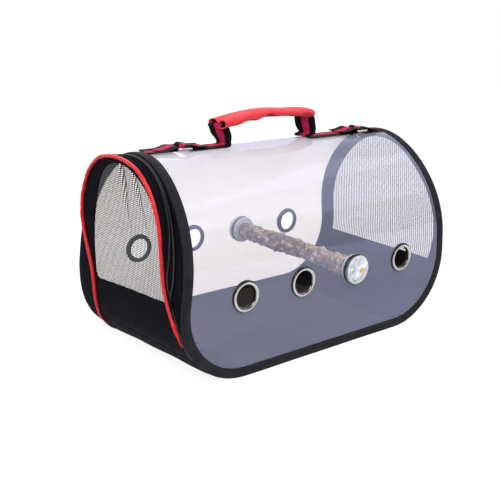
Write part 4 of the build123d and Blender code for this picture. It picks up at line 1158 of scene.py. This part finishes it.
foam = sewn("grip_foam_core", capped(core_grid), "handle", solid_cloth, loop=(False, True), closed=True,
            replaces=["grip_foam"], slot="grey_foam")
print("handle done")
# %% [markdown]
# The stage is plain: a pale floor, a white surround and soft lamps. The white that the eye and the
# reflections see is set by ray type, apart from the light that falls on the carrier, so the lamps can
# stay at a plain level. Two dark cards stand where only reflections see them, as in a real studio, and
# darken what the nickel rings reflect; the rings' black edges are painted shade in their own colour.

# %% Camera, light and floor
EYE, AIM, ROLL, FOCAL = np.array([-671.5, -771.5, 409.6]), np.array([-34, -0.6, 108.0]), np.radians(1.54), 803.0
ahead = unit(AIM - EYE)
level = unit(np.cross(ahead, [0, 0, 1]))
upward = np.cross(level, ahead)
right = level * np.cos(ROLL) + upward * np.sin(ROLL)
top = upward * np.cos(ROLL) - level * np.sin(ROLL)
camera = bpy.data.objects.new("studio_camera", bpy.data.cameras.new("studio_camera"))
bpy.context.scene.collection.objects.link(camera)
turned = np.eye(4)
turned[:3, :3] = np.stack([right, top, -ahead], 1)
turned[:3, 3] = EYE / 1000
camera.matrix_world = Matrix(turned.tolist())
camera.data.sensor_width, camera.data.lens = 36.0, 36.0 * FOCAL / 500
camera.data.clip_start, camera.data.clip_end = 0.01, 50
bpy.context.scene.camera = camera
bpy.context.scene.view_settings.view_transform = "Standard"

world = bpy.data.worlds.new("white_studio")
bpy.context.scene.world = world
world.use_nodes = True
air = world.node_tree
air.nodes.clear()
ray = put(air, "LightPath")
seen = crossed(air, crossed(air, ray.outputs["Is Camera Ray"], ray.outputs["Is Glossy Ray"], "MAXIMUM"),
               ray.outputs["Is Transmission Ray"], "MAXIMUM")
surround = put(air, "Background", {"Color": tone("ffffff"), "Strength": ranged(air, seen, 0, 1, 0.62, 1.0)})
air.links.new(surround.outputs[0], air.nodes.new("ShaderNodeOutputWorld").inputs[0])


def soft_lamp(name, place_mm, aim_mm, size, watts):
    """A square area lamp at a place, turned to face its aim."""
    lamp = bpy.data.objects.new(name, bpy.data.lights.new(name, "AREA"))
    lamp.data.shape, lamp.data.size, lamp.data.energy = "SQUARE", size, watts
    bpy.context.scene.collection.objects.link(lamp)
    back = unit(np.array(place_mm, float) - aim_mm)
    side = unit(np.cross([0, 0, 1], back))
    turn = np.eye(4)
    turn[:3, :3] = np.stack([side, np.cross(back, side), back], 1)
    turn[:3, 3] = np.array(place_mm) / 1000
    lamp.matrix_world = Matrix(turn.tolist())
    return lamp


soft_lamp("key_softbox", (-900, -1100, 1300), (0, 0, 120), 1.1, 16)
soft_lamp("fill_softbox", (1100, -700, 900), (0, 0, 120), 1.2, 6)
soft_lamp("back_softbox", (300, 1300, 1000), (0, 0, 120), 1.2, 6)

floor_stuff, tree, out = start("pale_seamless_paper")
ray = put(tree, "LightPath")
shown = crossed(tree, crossed(tree, ray.outputs["Is Camera Ray"], ray.outputs["Is Glossy Ray"], "MAXIMUM"),
                ray.outputs["Is Transmission Ray"], "MAXIMUM")
paper = put(tree, "BsdfDiffuse", {"Color": tone("9a9a9c")})
glow = put(tree, "Emission", {"Color": tone("ffffff"), "Strength": ranged(tree, shown, 0, 1, 0.0, 0.88)})
both = put(tree, "AddShader", {0: paper.outputs[0], 1: glow.outputs[0]})
tree.links.new(both.outputs[0], out.inputs[0])
sides = np.linspace(-3000, 3000, 13)
ground = np.stack([*np.meshgrid(sides, sides, indexing="ij"), np.full((13, 13), -0.4)], -1)
sewn("studio_floor", ground, None, floor_stuff, away=(0, 0, -500))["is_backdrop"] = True

card_stuff, tree, out = start("black_card")
tree.links.new(put(tree, "BsdfDiffuse", {"Color": tone("050505")}).outputs[0], out.inputs[0])
a, b = np.meshgrid([-1.0, 1.0], [-1.0, 1.0], indexing="ij")
for word, middle, up, across in (("side", (900, -1100, 820.0), (0, 0, 790), (1200, 980, 0)),
                                 ("back", (-1000, -1150, 560), (-100, -110, 420), (560, -500, 0))):
    spread_out = np.array(middle) + a[..., None] * np.array(across) + b[..., None] * np.array(up)
    card = sewn(f"reflection_card_{word}", spread_out, None, card_stuff)
    for sight in ("camera", "diffuse", "transmission", "volume_scatter", "shadow"):
        setattr(card, "visible_" + sight, False)
    card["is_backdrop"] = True
print("camera lens, mm:", round(camera.data.lens, 2))

# %% Print the sizes and finish
low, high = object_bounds()
print("visual box, m:", [round(c, 4) for c in (*low, *high)])
